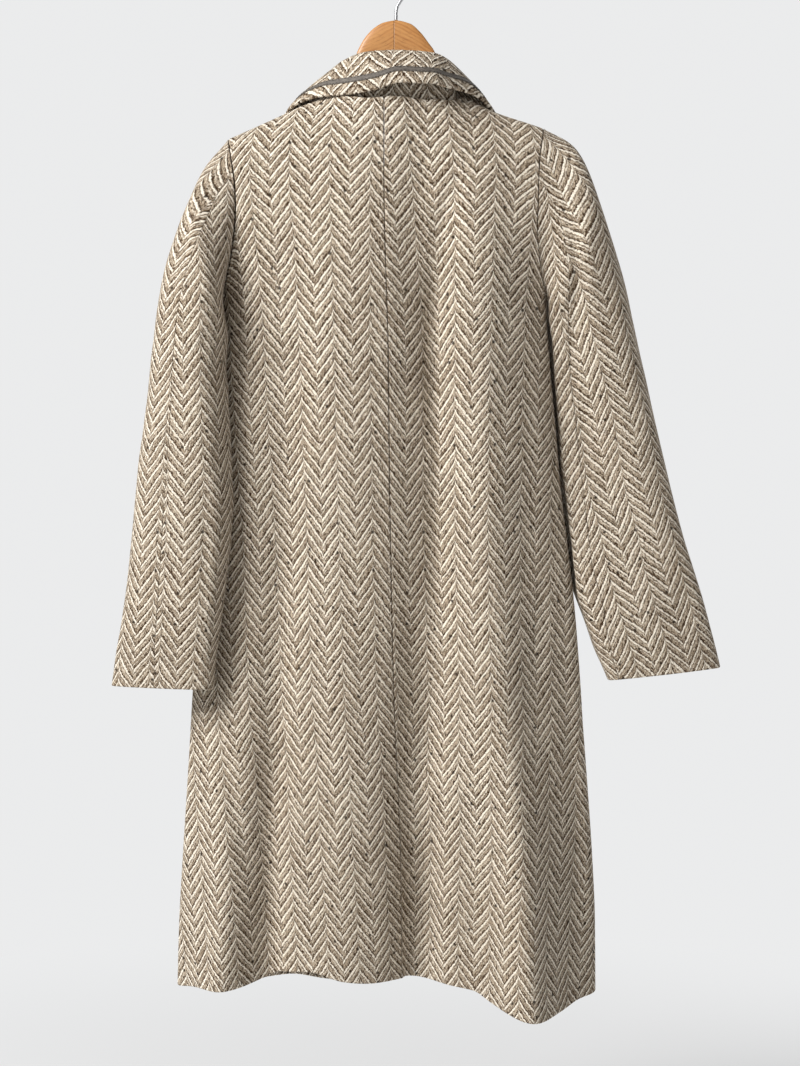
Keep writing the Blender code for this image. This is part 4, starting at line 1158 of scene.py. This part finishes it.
collar = {
    # x, y and drop of the outer edge (e) and of the roll's top (t), at steps round the neck:
    # 0 is the centre back, 5 the shoulder, 7 the front end
    "edges": {
        left: Table(
            "step ex ey ed tx ty td",
            (0, 0, 60, 170, 0, 42, 127.5), (1, 28, 52, 177, 24, 40, 127.5),
            (2, 50, 42, 178, 42, 33, 128), (3, 72, 33, 177, 54, 22, 129.5),
            (4, 95, 22, 175.5, 63, 10, 130.5), (5, 127, 3, 182, 67, -5, 134),
            (6, 141, -36, 208, 70, -24, 156), (7, 126, -60, 240, 60, -42, 180),
        ),
        right: Table(
            "step ex ey ed tx ty td",
            (0, 0, 60, 170, 0, 42, 127.5), (1, -28, 60, 170.5, -24, 40, 127.5),
            (2, -43, 58, 169.5, -44, 33, 127.5), (3, -60, 46, 171, -55, 22, 129),
            (4, -87, 24, 171, -62, 10, 130.5), (5, -110, 2, 178, -65, -5, 134),
            (6, -130, -36, 206, -69, -24, 156), (7, -123, -60, 240, -60, -42, 180),
        ),
    },
    "raised": 2.6,
    "roll": 6.5,
    "bulge": 4.0,
    "tuck": 6.0,  # how far inside the neck seam the stand's foot goes, and how far down
    "footDown": 8.0,
    "steps": 75,  # to each side of the centre back
    "across": 55,
    "front": 0.2,
    "tapeInside": 16.5,
    "tapeWide": 6.0,
    "tapeThick": 0.8,
    "lift": 1.6,
    "padded": 2.6,  # how much thicker the turned edge is, and where and how far it swells out
    "fullAt": 6.5,
    "fullWide": 6.0,
    "fullOut": 0.9,
    "pullIn": 0.7,  # how far the tape's stitching pulls the cloth in
    "pullWide": 3.4,
    "bandShift": 0.27,  # the weave doesn't meet at the tape, in columns
    "column": 45.0,
    "columnStart": 4.4,
    "inNeck": 0.985,  # share of the neck's width where the collar is sewn on
    "openCurve": 1.3,  # how the front edge runs down, and how far in it stays
    "frontIn": 4.4,
}


def clearOfShoulders(points, margin):
    x, y, drop = points[..., 0], points[..., 1], -points[..., 2]
    ridge = form["ridge"].at("drop", x)
    armpit = form["armpit"]
    level = np.full_like(x, armpit)
    reach = np.where(y >= 0, bodyDepth(back, x, level, True), bodyDepth(front, x, level, True))
    tall = armpit - ridge

    def held(p):
        a = np.abs(p[..., 1]) / (reach + margin)
        b = (armpit + p[..., 2]) / (tall + margin)
        return a * a + b * b < 1

    away = unit(np.stack([np.zeros_like(x), y / reach**2, (armpit - drop) / tall**2], axis=-1))
    return points + pushedOut(points, away, held, 60.0, 14)


def neckEdge(side, step):
    # the neck seam's place at a step of the collar, and which way is out
    neck, armpit = form["neck"][side], form["armpit"]
    if step <= 5:
        x = neck * math.sin(step / 5 * math.pi / 2) * collar["inNeck"]
        tau = math.radians(form["neckTurn"]) * math.sqrt(max(0.0, 1 - (x / neck) ** 2))
        ridge = float(form["ridge"].at("drop", x))
        drop = ridge + (armpit - ridge) * (1 - math.cos(tau))
        y = float(bodyY(back, x, drop, plain=True))
    else:
        down = collar["front"] * ((step - 5) / 2) ** collar["openCurve"]
        x = neck + (form["centreFront"] - side * form["overlap"] - neck) * down
        ridge = float(form["ridge"].at("drop", x))
        drop = ridge + (armpit - ridge) * down
        y = float(bodyY(front, x, drop, plain=True))
        x -= side * collar["frontIn"] * min(1, step - 5)
    out = np.array([x, y * 1.3, 0.0])
    return np.array([x, y, -drop]), out / np.linalg.norm(out)


def collarProfile(side, step):
    # from the outer edge over the roll to the neck seam
    table = collar["edges"][side]
    raised = collar["raised"] * max(0.0, 1 - step / 6)
    edge = np.array([table.at("ex", step), table.at("ey", step), raised - table.at("ed", step)])
    roll = np.array([table.at("tx", step), table.at("ty", step), raised - table.at("td", step)])
    seam, out = neckEdge(side, step)
    narrow = collar["roll"] * (1 - 0.25 * max(0, step - 5) / 2)
    foot = seam - (form["cloth"] + collar["tuck"]) * out - np.array([0, 0, collar["footDown"]])
    leaf = edge - roll
    lift = unit(np.cross(np.cross(leaf, (0, 0, 1.0)), leaf)) * collar["bulge"]
    lift = -lift if lift[2] < 0 else lift
    outerRoll = roll + narrow * out * 0.9 + np.array([0, 0, -3.0])
    innerRoll = roll - narrow * out * 0.9 + np.array([0, 0, -3.5])
    keys = [edge, edge + (outerRoll - edge) * 0.35 + lift * 0.9,
            edge + (outerRoll - edge) * 0.7 + lift * 0.8, outerRoll, roll, innerRoll,
            innerRoll * 0.55 + foot * 0.45, foot]
    place = lengthsAlong(np.array(keys))
    wanted = np.interp(np.linspace(0, 7, collar["across"] + 1), range(8), place)
    return np.stack([between(place, [k[axis] for k in keys], wanted) for axis in range(3)], axis=-1)


def tapeMaterial():
    s = Shade("tape", (0.16, 0.14, 0.12, 1))
    place = s.onCloth()
    u, v = place.parts("XY")
    rib = s.pingpong(u / 0.00045, 1.0)
    streak = s.noise(s.vector(u * 0.12, v), 1500.0, 2.0)
    wear = s.noise(place, 60.0, 3.0)
    colour = s.mix(streak.step(0.3, 0.7), (0.060, 0.048, 0.038, 1), (0.155, 0.134, 0.112, 1))
    colour = s.mix(wear.step(0.45, 0.8) * 0.3, colour, (0.22, 0.195, 0.165, 1))
    normal = s.bump(rib * 0.5 + streak, 0.5, 0.0003)
    return s.finish(Base_Color=colour, Roughness=0.72 - 0.15 * streak, Normal=normal,
                    Sheen_Weight=0.15, Specular_IOR_Level=0.4)


tapeCloth = tapeMaterial()
turnedAll = ("free",) * 4


def valuesAt(spots, place, values):
    # rows of values between those at each place
    return np.stack([np.interp(spots, place, column) for column in values.T], axis=-1)


def makeCollar():
    steps = np.linspace(7, 0, collar["steps"] + 1)
    points = np.array([collarProfile(left, s) for s in steps]
                      + [collarProfile(right, s) for s in steps[::-1][1:]])
    leaf = collar["across"] * 5 // 11  # columns of the part that lies on the shoulders
    points[:, :leaf] = clearOfShoulders(points[:, :leaf], form["cloth"] + collar["lift"])
    for _ in range(5):
        points[1:-1] = points[1:-1] * 0.5 + (points[:-2] + points[2:]) * 0.25
    for _ in range(2):
        points[:, 1:-1] = points[:, 1:-1] * 0.5 + (points[:, :-2] + points[:, 2:]) * 0.25
    normals = normalsOf(points)
    middle = collar["steps"]
    if normals[middle, 8, 1] < 0:
        normals = -normals
    fromEdge = lengthsAlong(points, 1)
    # the turned edge is fuller than the leaf, and the tape's row is pulled in a little
    edgeFull = np.exp(-((fromEdge - collar["fullAt"]) / collar["fullWide"]) ** 2)
    thick = form["cloth"] + collar["padded"] * edgeFull
    pulled = np.exp(-((fromEdge - collar["tapeInside"]) / collar["pullWide"]) ** 2)
    points = points + normals * (collar["fullOut"] * edgeFull)[..., None]
    points = points - normals * (collar["pullIn"] * pulled)[..., None]
    rollLine = points[:, round(collar["across"] * 4 / 7)]  # the collar's highest line
    along = lengthsAlong(rollLine)
    nearBack = slice(middle + 8, middle - 9, -1)
    along = along - np.interp(collar["columnStart"], rollLine[nearBack, 0], along[nearBack])
    u = along[:, None] / collar["column"] + np.where(fromEdge < collar["tapeInside"], collar["bandShift"], 0)
    uvs = np.stack([u * grain["fullColumn"], fromEdge + 2.0], axis=-1)
    cloths["collar"] = shell("collar_cloth", points, normals, uvs, turnedAll[:3] + (None,), wool, thick)

    strip = []
    spots = collar["tapeInside"] + collar["tapeWide"] * np.linspace(-0.5, 0.5, 7)
    for profile, normal, place in zip(points, normals, fromEdge):
        centre, up = valuesAt(spots, place, profile), unit(valuesAt(spots, place, normal))
        strip.append(np.concatenate([centre + up * (0.35 + collar["tapeThick"]), up], axis=-1))
    strip = np.array(strip)
    tapeUvs = np.stack([np.repeat(along[:, None], 7, axis=1),
                        np.repeat(np.linspace(0, collar["tapeWide"], 7)[None], len(strip), axis=0)], axis=-1)
    thin = np.full(strip.shape[:2], collar["tapeThick"])
    tape = shell("collar_tape", strip[..., :3], strip[..., 3:], tapeUvs, turnedAll, tapeCloth, thin)
    print("collar and tape made")
    return tape, strip


tape, tapeStrip = makeCollar()


lapels = {
    # shares of the front edge where each begins and ends, and its form down that stretch
    left: (0.27, 0.47, Table("down out low", (0, 78, 58), (0.35, 84, 44), (0.7, 48, 14), (1, 7, 1))),
    right: (0.27, 0.99, Table("down out low", (0, 78, 58), (0.3, 88, 42), (0.6, 66, 18), (1, 7, 1))),
    "lift": 3.0,
    "edgeLift": 1.6,
    "lean": 30.0,  # the cloth's grain follows the lapel's edge
    "rest": 0.6,
    "thin": 0.4,
    "rows": 72,
    "columns": 34,
}


def lapelGrid(side, rows, columns):
    start, end, table = lapels[side]
    e = np.linspace(0, 1, rows + 1)[:, None]
    c = np.linspace(0, 1, columns + 1)[None, :]
    down = start + (end - start) * e
    neck = form["neck"][side]
    edge = neck + (form["centreFront"] - side * form["overlap"] - neck) * down
    drop = form["ridge"].at("drop", edge)
    drop = drop + (form["armpit"] - drop) * down
    x = edge + side * table.at("out", e) * c
    drop = drop + table.at("low", e) * c
    lift = form["cloth"] + lapels["rest"] + lapels["lift"] * np.sin(math.pi * c) ** 2 + lapels["edgeLift"] * c
    y = bodyY(front, x, drop, under=side == left)
    points = np.stack([x, y, -drop], axis=-1)
    normals = normalsOf(points)
    if normals[rows // 4, columns // 2, 1] > 0:
        normals = -normals
    points = points + normals * lift[..., None]
    return points, normals


def makeLapels():
    for side, name in ((left, "lapel_left"), (right, "lapel_right")):
        points, normals = lapelGrid(side, lapels["rows"], lapels["columns"])
        lean = math.radians(lapels["lean"]) * side
        x, drop = points[..., 0], -points[..., 2]
        uvs = np.stack([x * math.cos(lean) + drop * math.sin(lean),
                        drop * math.cos(lean) - x * math.sin(lean)], axis=-1)
        thick = np.full(points.shape[:2], form["cloth"] - lapels["thin"])
        cloths[name] = shell(name + "_cloth", points, normals, uvs, turnedAll, wool, thick)
    print("lapels made")


makeLapels()


hanger = {
    "half": 6.0,  # thickness to each side
    "joint": 2.5,
    "square": (0.55, 0.75),  # how square the section is, across and up
    "sections": 130,  # along an arm, closer together at the joint
    "closer": 1.15,
    "around": 48,
    "endRound": 5.0,
    "split": 0.01,  # the halves stop this short of their joint
    "ends": {left: 190.0, right: -166.0},
    "outline": Table(
        "x top bottom", (-168, 219, 232), (-150, 209.5, 229), (-110, 193, 216),
        (-85, 182, 207), (-68, 170, 198), (-56, 149, 186), (-50, 130, 180), (-45.7, 115.3, 176),
        (-38.4, 104.7, 168), (-29.5, 93, 162), (-16.5, 82, 155),
        (0, 78.2, 152), (14.4, 80.6, 154), (25, 86.4, 159), (35.7, 97.2, 165), (45.2, 113.6, 174),
        (50, 127, 179), (56, 145, 185), (68, 165, 194), (85, 179, 204), (127, 199, 223),
        (170, 219, 240), (192, 231, 243),
    ),
    "wire": 2.0,
    "wireSides": 20,
    # x and drop up the hook's neck
    "hookNeck": ((0, 77.8), (0, 70), (-0.6, 64), (-4.2, 56.5), (-9.5, 49), (-14.4, 41), (-18, 32.5)),
    "hookRadius": 20.0,
    "hookMiddle": 18.0,  # drop of the bend's centre
    "hookBend": (188, -41, -18),  # degrees from the neck over the top to the tip, and the step
    "grainSlope": 0.44,
    "ringGap": 0.0046,
    "wood": (0.50, 0.23, 0.071, 1),
    "ring": (0.37, 0.15, 0.042, 1),
    "flame": (0.58, 0.29, 0.098, 1),
    "pore": (0.25, 0.10, 0.032, 1),
    "glue": (0.12, 0.045, 0.014, 1),
}


def woodMaterial(name, side):
    s = Shade(name, (0.6, 0.32, 0.12, 1))
    place = s.inSpace()
    x, y, z = place.parts()
    away = abs(x - hanger["joint"] * mm)
    bend = s.noise(s.vector(x * 9.0, y * 14.0, z * 9.0 + 5.0 * side), 1.0, 2.0)
    rings = (z * -1.0 - away * hanger["grainSlope"] + y * 0.35) / hanger["ringGap"] + bend * 5.5
    line = s.pingpong(rings, 0.5) * 2.0
    alongGrain = away + (z * -1.0) * hanger["grainSlope"]
    pores = s.noise(s.vector(alongGrain * 120.0, rings * 5.0, y * 260.0), 1.0, 2.0)
    flame = s.noise(s.vector(alongGrain * 22.0, rings * 0.8, 2.0 + side), 1.0, 2.0)
    colour = s.mix(line.power(2.2), hanger["wood"], hanger["ring"])
    for share, tint in (
        (flame.step(0.35, 0.7) * 0.55, "flame"),
        ((1 - pores.step(0.30, 0.44)) * 0.5, "pore"),
        ((1 - away.step(0.00015, 0.0007)) * 0.75, "glue"),
    ):
        colour = s.mix(share, colour, hanger[tint])
    normal = s.bump(line * 0.2 + pores, 0.12, 0.0004)
    return s.finish(Base_Color=colour, Roughness=0.34 + 0.12 * pores, Normal=normal,
                    Coat_Weight=0.18, Coat_Roughness=0.3)


def makeWood():
    # a rounded oblong section, carried along the arm
    section = []
    for k in range(hanger["around"]):
        angle = 2 * math.pi * k / hanger["around"]
        section.append([math.copysign(abs(way) ** square, way)
                        for way, square in zip((math.cos(angle), math.sin(angle)), hanger["square"])])
    for side, name in ((left, "hanger_wood_left"), (right, "hanger_wood_right")):
        start = hanger["joint"] + hanger["split"] * side
        share = np.linspace(0, 1, hanger["sections"]) ** hanger["closer"]
        xs = start + (hanger["ends"][side] - start) * share
        points = []
        for x in xs:
            top, bottom = float(hanger["outline"].at("top", x)), float(hanger["outline"].at("bottom", x))
            middle, tall = (top + bottom) / 2, (bottom - top) / 2
            toEnd = abs(hanger["ends"][side] - x) / hanger["endRound"]
            end = 0.35 + 0.65 * math.sqrt(max(0.0, 1 - max(0.0, 1 - toEnd) ** 2))
            for y, up in section:
                points.append((x, y * hanger["half"] * end, -middle + up * tall * (0.6 + 0.4 * end)))
        faces = tubeFaces(len(xs), len(section))
        obj = makeMesh(name + "_piece", points, faces, None, woodMaterial(f"hanger_{side}_wood", side))
        outward(obj)
        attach(obj, "root")
        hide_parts(name)


def steelMaterial():
    s = Shade("hook_steel", (0.5, 0.5, 0.5, 1))
    place = s.inSpace()
    x, y, z = place.parts()
    drawn = s.noise(s.vector(x * 900.0, y * 900.0, z * 60.0), 1.0, 2.0)
    worn = s.noise(place, 55.0, 3.0)
    colour = s.mix(drawn, (0.30, 0.30, 0.31, 1), (0.62, 0.62, 0.63, 1))
    colour = s.mix(worn.step(0.5, 0.75) * 0.4, colour, (0.22, 0.21, 0.20, 1))
    return s.finish(Base_Color=colour, Roughness=0.28 + 0.2 * worn, Metallic=1.0,
                    Normal=s.bump(drawn, 0.1, 0.0002))


def makeHook():
    path, radius = list(hanger["hookNeck"]), hanger["hookRadius"]
    for degrees in range(*hanger["hookBend"]):
        angle = math.radians(degrees)
        path.append((radius * math.cos(angle), hanger["hookMiddle"] - radius * math.sin(angle)))
    path = np.array(path, float)
    place = lengthsAlong(path)
    fine = np.linspace(0, place[-1], 160)
    path = np.stack([between(place, path[:, 0], fine), between(place, path[:, 1], fine)], axis=-1)
    for _ in range(8):
        path[1:-1] = path[1:-1] * 0.5 + (path[:-2] + path[2:]) * 0.25
    spots = np.stack([path[:, 0], np.zeros(len(path)), -path[:, 1]], axis=-1)
    forward = unit(np.gradient(spots, axis=0))
    wire, sides, aside = hanger["wire"], hanger["wireSides"], np.array([0, 1.0, 0])
    points = []
    for spot, ahead, toTip in zip(spots, forward, place[-1] - fine):
        thin = math.sqrt(max(0.04, 1 - max(0.0, 1 - toTip / wire) ** 2))
        points.extend(roundPoints(spot, np.cross(ahead, aside), aside, wire * thin, sides))
    obj = makeMesh("hanger_hook_wire", points, tubeFaces(len(spots), sides), None, steelMaterial())
    outward(obj)
    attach(obj, "root")
    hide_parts("hanger_hook")


makeWood()
makeHook()
print("hanger made")


buttons = {
    "radius": 14.0,
    "thick": 4.5,
    "columns": (-55.0, 55.0),
    "rows": (455.0, 575.0, 695.0),
    "rest": 0.6,  # air under a button
    "holeRadius": 1.25,
    "holeOff": 1.8125,  # a hole's place from the button's middle, each way
    "profile": (  # shares of the radius and of the thickness, from the back to the dish
        (0.72, 0), (0.9, 0.08), (0.985, 0.3), (1, 0.52), (0.985, 0.75),
        (0.94, 0.93), (0.88, 1), (0.82, 0.96), (0.74, 0.8), (0.66, 0.74),
    ),
    "around": 64,
    "holeSides": 16,
}


def hornMaterial():
    s = Shade("button_horn", (0.06, 0.04, 0.03, 1))
    place = s.inSpace()
    x, y, z = place.parts()
    streak = s.noise(s.vector(x * 40.0, y * 40.0, z * 160.0), 1.0, 4.0, 0.6)
    cloud = s.noise(place, 90.0, 3.0)
    colour = s.mix(streak.step(0.35, 0.65), (0.030, 0.018, 0.012, 1), (0.115, 0.070, 0.042, 1))
    colour = s.mix(cloud.step(0.5, 0.7) * 0.4, colour, (0.17, 0.115, 0.075, 1))
    return s.finish(Base_Color=colour, Roughness=0.26 + 0.15 * cloud, Coat_Weight=0.25,
                    Normal=s.bump(streak, 0.08, 0.0003))


def buttonMesh(name, centre, normal, material):
    # a dished disc with four holes right through
    r, h = buttons["radius"], buttons["thick"]
    across = unit(np.cross(normal, (0.0, 0.3, 1.0)))
    other = np.cross(normal, across)
    rings = [roundPoints(centre + high * h * normal, across, other, wide * r, buttons["around"])
             for wide, high in buttons["profile"]]
    obj = makeMesh(name, np.concatenate(rings), tubeFaces(len(rings), buttons["around"]), None, material)
    outward(obj)
    rings, faces, sides = [], [], buttons["holeSides"]
    for dx, dy in ((1, 1), (1, -1), (-1, -1), (-1, 1)):
        spot = centre + (dx * across + dy * other) * buttons["holeOff"]
        faces += [[k + sides * len(rings) for k in face] for face in tubeFaces(2, sides)]
        rings += [roundPoints(spot + out * normal, across, other, buttons["holeRadius"], sides)
                  for out in (-2, h + 2)]
    cutter = makeMesh(name + "_holes", np.concatenate(rings), faces, None, material)
    outward(cutter)
    cut = obj.modifiers.new("holes", "BOOLEAN")
    cut.object, cut.operation, cut.solver = cutter, "DIFFERENCE", "EXACT"
    plain = plainMesh(obj)
    bpy.data.objects.remove(cutter)
    plain.set_sharp_from_angle(angle=math.radians(38))
    return obj


def onFront(x, drop):
    # a place on the outside of the front that lies on top
    return np.array([x, float(bodyY(front, x, drop)), -drop])


def frontSpot(x, drop, reach=2):
    # the place, and the way out of it
    over = onFront(x + reach, drop) - onFront(x - reach, drop)
    down = onFront(x, drop + reach) - onFront(x, drop - reach)
    normal = unit(np.cross(over, down))
    return onFront(x, drop), -normal if normal[1] > 0 else normal


def makeButtons():
    horn = hornMaterial()
    spots = []
    for across in buttons["columns"]:
        for drop in buttons["rows"]:
            number = len(spots) + 1
            x = form["centreFront"] + across
            centre, normal = frontSpot(x, drop, 5)
            r, angles = buttons["radius"], np.linspace(0, 2 * math.pi, 13)
            rim = [onFront(x + r * math.cos(k), drop + r * math.sin(k)) for k in angles]
            clear = max(0.0, max(float((p - centre) @ normal) for p in rim)) + buttons["rest"]
            seat = centre + clear * normal
            obj = buttonMesh(f"button_{number}_horn", seat, normal, horn)
            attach(obj, "root")
            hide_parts(f"button_{number}")
            spots.append((seat, normal))
    print("buttons made")
    return spots


buttonSpots = makeButtons()


stitching = {
    # of each kind of stitch: shortest, longest, wide and high
    "tape": (2.7, 3.5, 0.62, 0.4),
    "whip": (2.3, 2.8, 0.8, 0.7),
    "slit": (1.3, 0.5),  # wide and high alone: it's as long as what the button leaves bare
    "knot": (4.6, 5.0, 1.0, 0.8),  # the thread across a button's holes
    "pitch": 4.3,  # of the tape's stitches
    "seed": 7,
    "holeFrom": 66.0,  # buttonholes run from beside each edge button towards the middle of the front
    "holeTo": 38.0,
    "holePitch": 0.85,
}
# The buttons near the edge hide their buttonholes from here on.
hiddenFrom = form["centreFront"] + buttons["columns"][1] - 0.8 * buttons["radius"]


def threadMaterial(name, dark, light):
    s = Shade(name, light)
    twist = s.noise(s.inSpace(), 1400.0, 2.0, 0.6)
    colour = s.mix(twist.step(0.3, 0.7), dark, light)
    return s.finish(Base_Color=colour, Roughness=0.75 - 0.1 * twist, Normal=s.bump(twist, 0.4, 0.0002),
                    Sheen_Weight=0.1, Specular_IOR_Level=0.3)


def stitchTree():
    # one rounded stitch on every point, turned as the point's "turn" says, uneven in length
    tree = bpy.data.node_groups.new("stitches", "GeometryNodeTree")
    face = tree.interface
    face.new_socket("Geometry", in_out="INPUT", socket_type="NodeSocketGeometry")
    for name in ("Shortest", "Longest", "Wide", "High"):
        face.new_socket(name, in_out="INPUT", socket_type="NodeSocketFloat")
    face.new_socket("Seed", in_out="INPUT", socket_type="NodeSocketInt")
    face.new_socket("Thread", in_out="INPUT", socket_type="NodeSocketMaterial")
    face.new_socket("Geometry", in_out="OUTPUT", socket_type="NodeSocketGeometry")
    kinds = {
        "given": "NodeGroupInput",
        "ball": "GeometryNodeMeshUVSphere",
        "turn": "GeometryNodeInputNamedAttribute",
        "chance": "FunctionNodeRandomValue",
        "size": "ShaderNodeCombineXYZ",
        "copies": "GeometryNodeInstanceOnPoints",
        "real": "GeometryNodeRealizeInstances",
        "thread": "GeometryNodeSetMaterial",
        "result": "NodeGroupOutput",
    }
    node = {name: tree.nodes.new(kind) for name, kind in kinds.items()}
    for name, value in (("Segments", 8), ("Rings", 6), ("Radius", 0.5)):
        node["ball"].inputs[name].default_value = value
    node["turn"].data_type = "FLOAT_VECTOR"
    node["turn"].inputs["Name"].default_value = "turn"
    node["chance"].data_type = "FLOAT"
    given = node["given"].outputs
    for source, target in (
        (given["Shortest"], node["chance"].inputs[2]),
        (given["Longest"], node["chance"].inputs[3]),
        (given["Seed"], node["chance"].inputs["Seed"]),
        (node["chance"].outputs[1], node["size"].inputs["X"]),
        (given["Wide"], node["size"].inputs["Y"]),
        (given["High"], node["size"].inputs["Z"]),
        (given["Geometry"], node["copies"].inputs["Points"]),
        (node["ball"].outputs["Mesh"], node["copies"].inputs["Instance"]),
        (node["turn"].outputs["Attribute"], node["copies"].inputs["Rotation"]),
        (node["size"].outputs[0], node["copies"].inputs["Scale"]),
        (node["copies"].outputs[0], node["real"].inputs["Geometry"]),
        (node["real"].outputs[0], node["thread"].inputs["Geometry"]),
        (given["Thread"], node["thread"].inputs["Material"]),
        (node["thread"].outputs[0], node["result"].inputs["Geometry"]),
    ):
        tree.links.new(source, target)
    return tree


stitchNodes = stitchTree()


def makeStitches(name, stitches, size, thread):
    # stitches are (place, way along, way up), in millimetres
    mesh = bpy.data.meshes.new(name)
    mesh.from_pydata([tuple(place * mm) for place, way, up in stitches], [], [])
    turns = []
    for place, way, up in stitches:
        way = unit(way)
        over = unit(np.cross(up, way))
        turns.append(Matrix(np.array([way, over, np.cross(way, over)]).T.tolist()).to_euler())
    turn = mesh.attributes.new("turn", "FLOAT_VECTOR", "POINT")
    turn.data.foreach_set("vector", np.array(turns, np.float32).ravel())
    obj = bpy.data.objects.new(name, mesh)
    bpy.context.scene.collection.objects.link(obj)
    grow = obj.modifiers.new("stitches", "NODES")
    grow.node_group = stitchNodes
    values = dict(zip(("Shortest", "Longest", "Wide", "High"), (length * mm for length in size)))
    values.update(Seed=stitching["seed"], Thread=thread)
    for item in stitchNodes.interface.items_tree:
        if item.in_out == "INPUT" and item.name in values:
            grow[item.identifier] = values[item.name]
    plainMesh(obj)
    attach(obj, "root")
    return obj


def tapeStitches():
    # a running stitch just inside both edges of the tape
    rows = []
    for column in (1, 5):
        line = tapeStrip[:, column]
        run = lengthsAlong(line[:, :3])
        at = np.arange(3.0, run[-1] - 3.0, stitching["pitch"])
        place, ahead, before = (valuesAt(at + shift, run, line) for shift in (0, 1, -1))
        rows += [(p[:3] + 0.08 * p[3:], a[:3] - b[:3], p[3:]) for p, a, b in zip(place, ahead, before)]
    return rows


def holeStitches(drop):
    # whipped round the slit, left out where the button hides them
    start, stop = stitching["holeFrom"], stitching["holeTo"]
    reach = sum(stitching["whip"][:2]) / 4 + 0.35
    stitches = []
    for x in np.arange(stop, min(start, hiddenFrom), stitching["holePitch"]):
        place, up = frontSpot(x, drop)
        for way in (1, -1):
            down = unit(np.cross(up, (1.0, 0, 0))) * way
            stitches.append((place + down * reach + up * 0.1, down, up))
    place, up = frontSpot(stop, drop)
    for degrees in range(110, 251, 20):
        angle = math.radians(degrees)
        spoke = math.cos(angle) * np.array([1.0, 0, 0]) + math.sin(angle) * unit(np.cross(up, (1.0, 0, 0)))
        spoke = unit(spoke - (spoke @ up) * up)
        stitches.append((place + spoke * reach + up * 0.1, spoke, up))
    slit, up = frontSpot((hiddenFrom + stop) / 2, drop)
    ahead = onFront((hiddenFrom + stop) / 2 + 3, drop) - slit
    return stitches, [(slit + 0.05 * up, ahead, up)]


def knotStitches():
    # across each button's holes, on its dished face
    rows = []
    for seat, normal in buttonSpots:
        across = unit(np.cross(normal, (0.0, 0.3, 1.0)))
        aside = np.cross(normal, across) * buttons["holeOff"]
        face = seat + normal * (buttons["thick"] * buttons["profile"][-1][1] + 0.2)
        rows += [(face + way * aside, across, normal) for way in (1, -1)]
    return rows


darkThread = threadMaterial("dark_thread", (0.012, 0.008, 0.005, 1), (0.05, 0.037, 0.027, 1))
brownThread = threadMaterial("brown_thread", (0.05, 0.034, 0.022, 1), (0.14, 0.10, 0.068, 1))
tapeThread = makeStitches("tape_stitches", tapeStitches(), stitching["tape"], darkThread)
span = abs(hiddenFrom - stitching["holeTo"])
holeThreads = []
for row, drop in enumerate(buttons["rows"], 1):
    whipped, slit = holeStitches(drop)
    holeThreads += [
        makeStitches(f"buttonhole_{row}_stitches", whipped, stitching["whip"], brownThread),
        makeStitches(f"buttonhole_{row}_slit", slit, (span, span, *stitching["slit"]), darkThread),
    ]
makeStitches("button_threads", knotStitches(), stitching["knot"], brownThread)
print("stitches made")


# Each piece of cloth goes on the root, and its solid is hidden.
for name, cloth in cloths.items():
    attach(cloth, "root")
    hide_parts(name)
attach(tape, "root")
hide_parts("collar_trim")
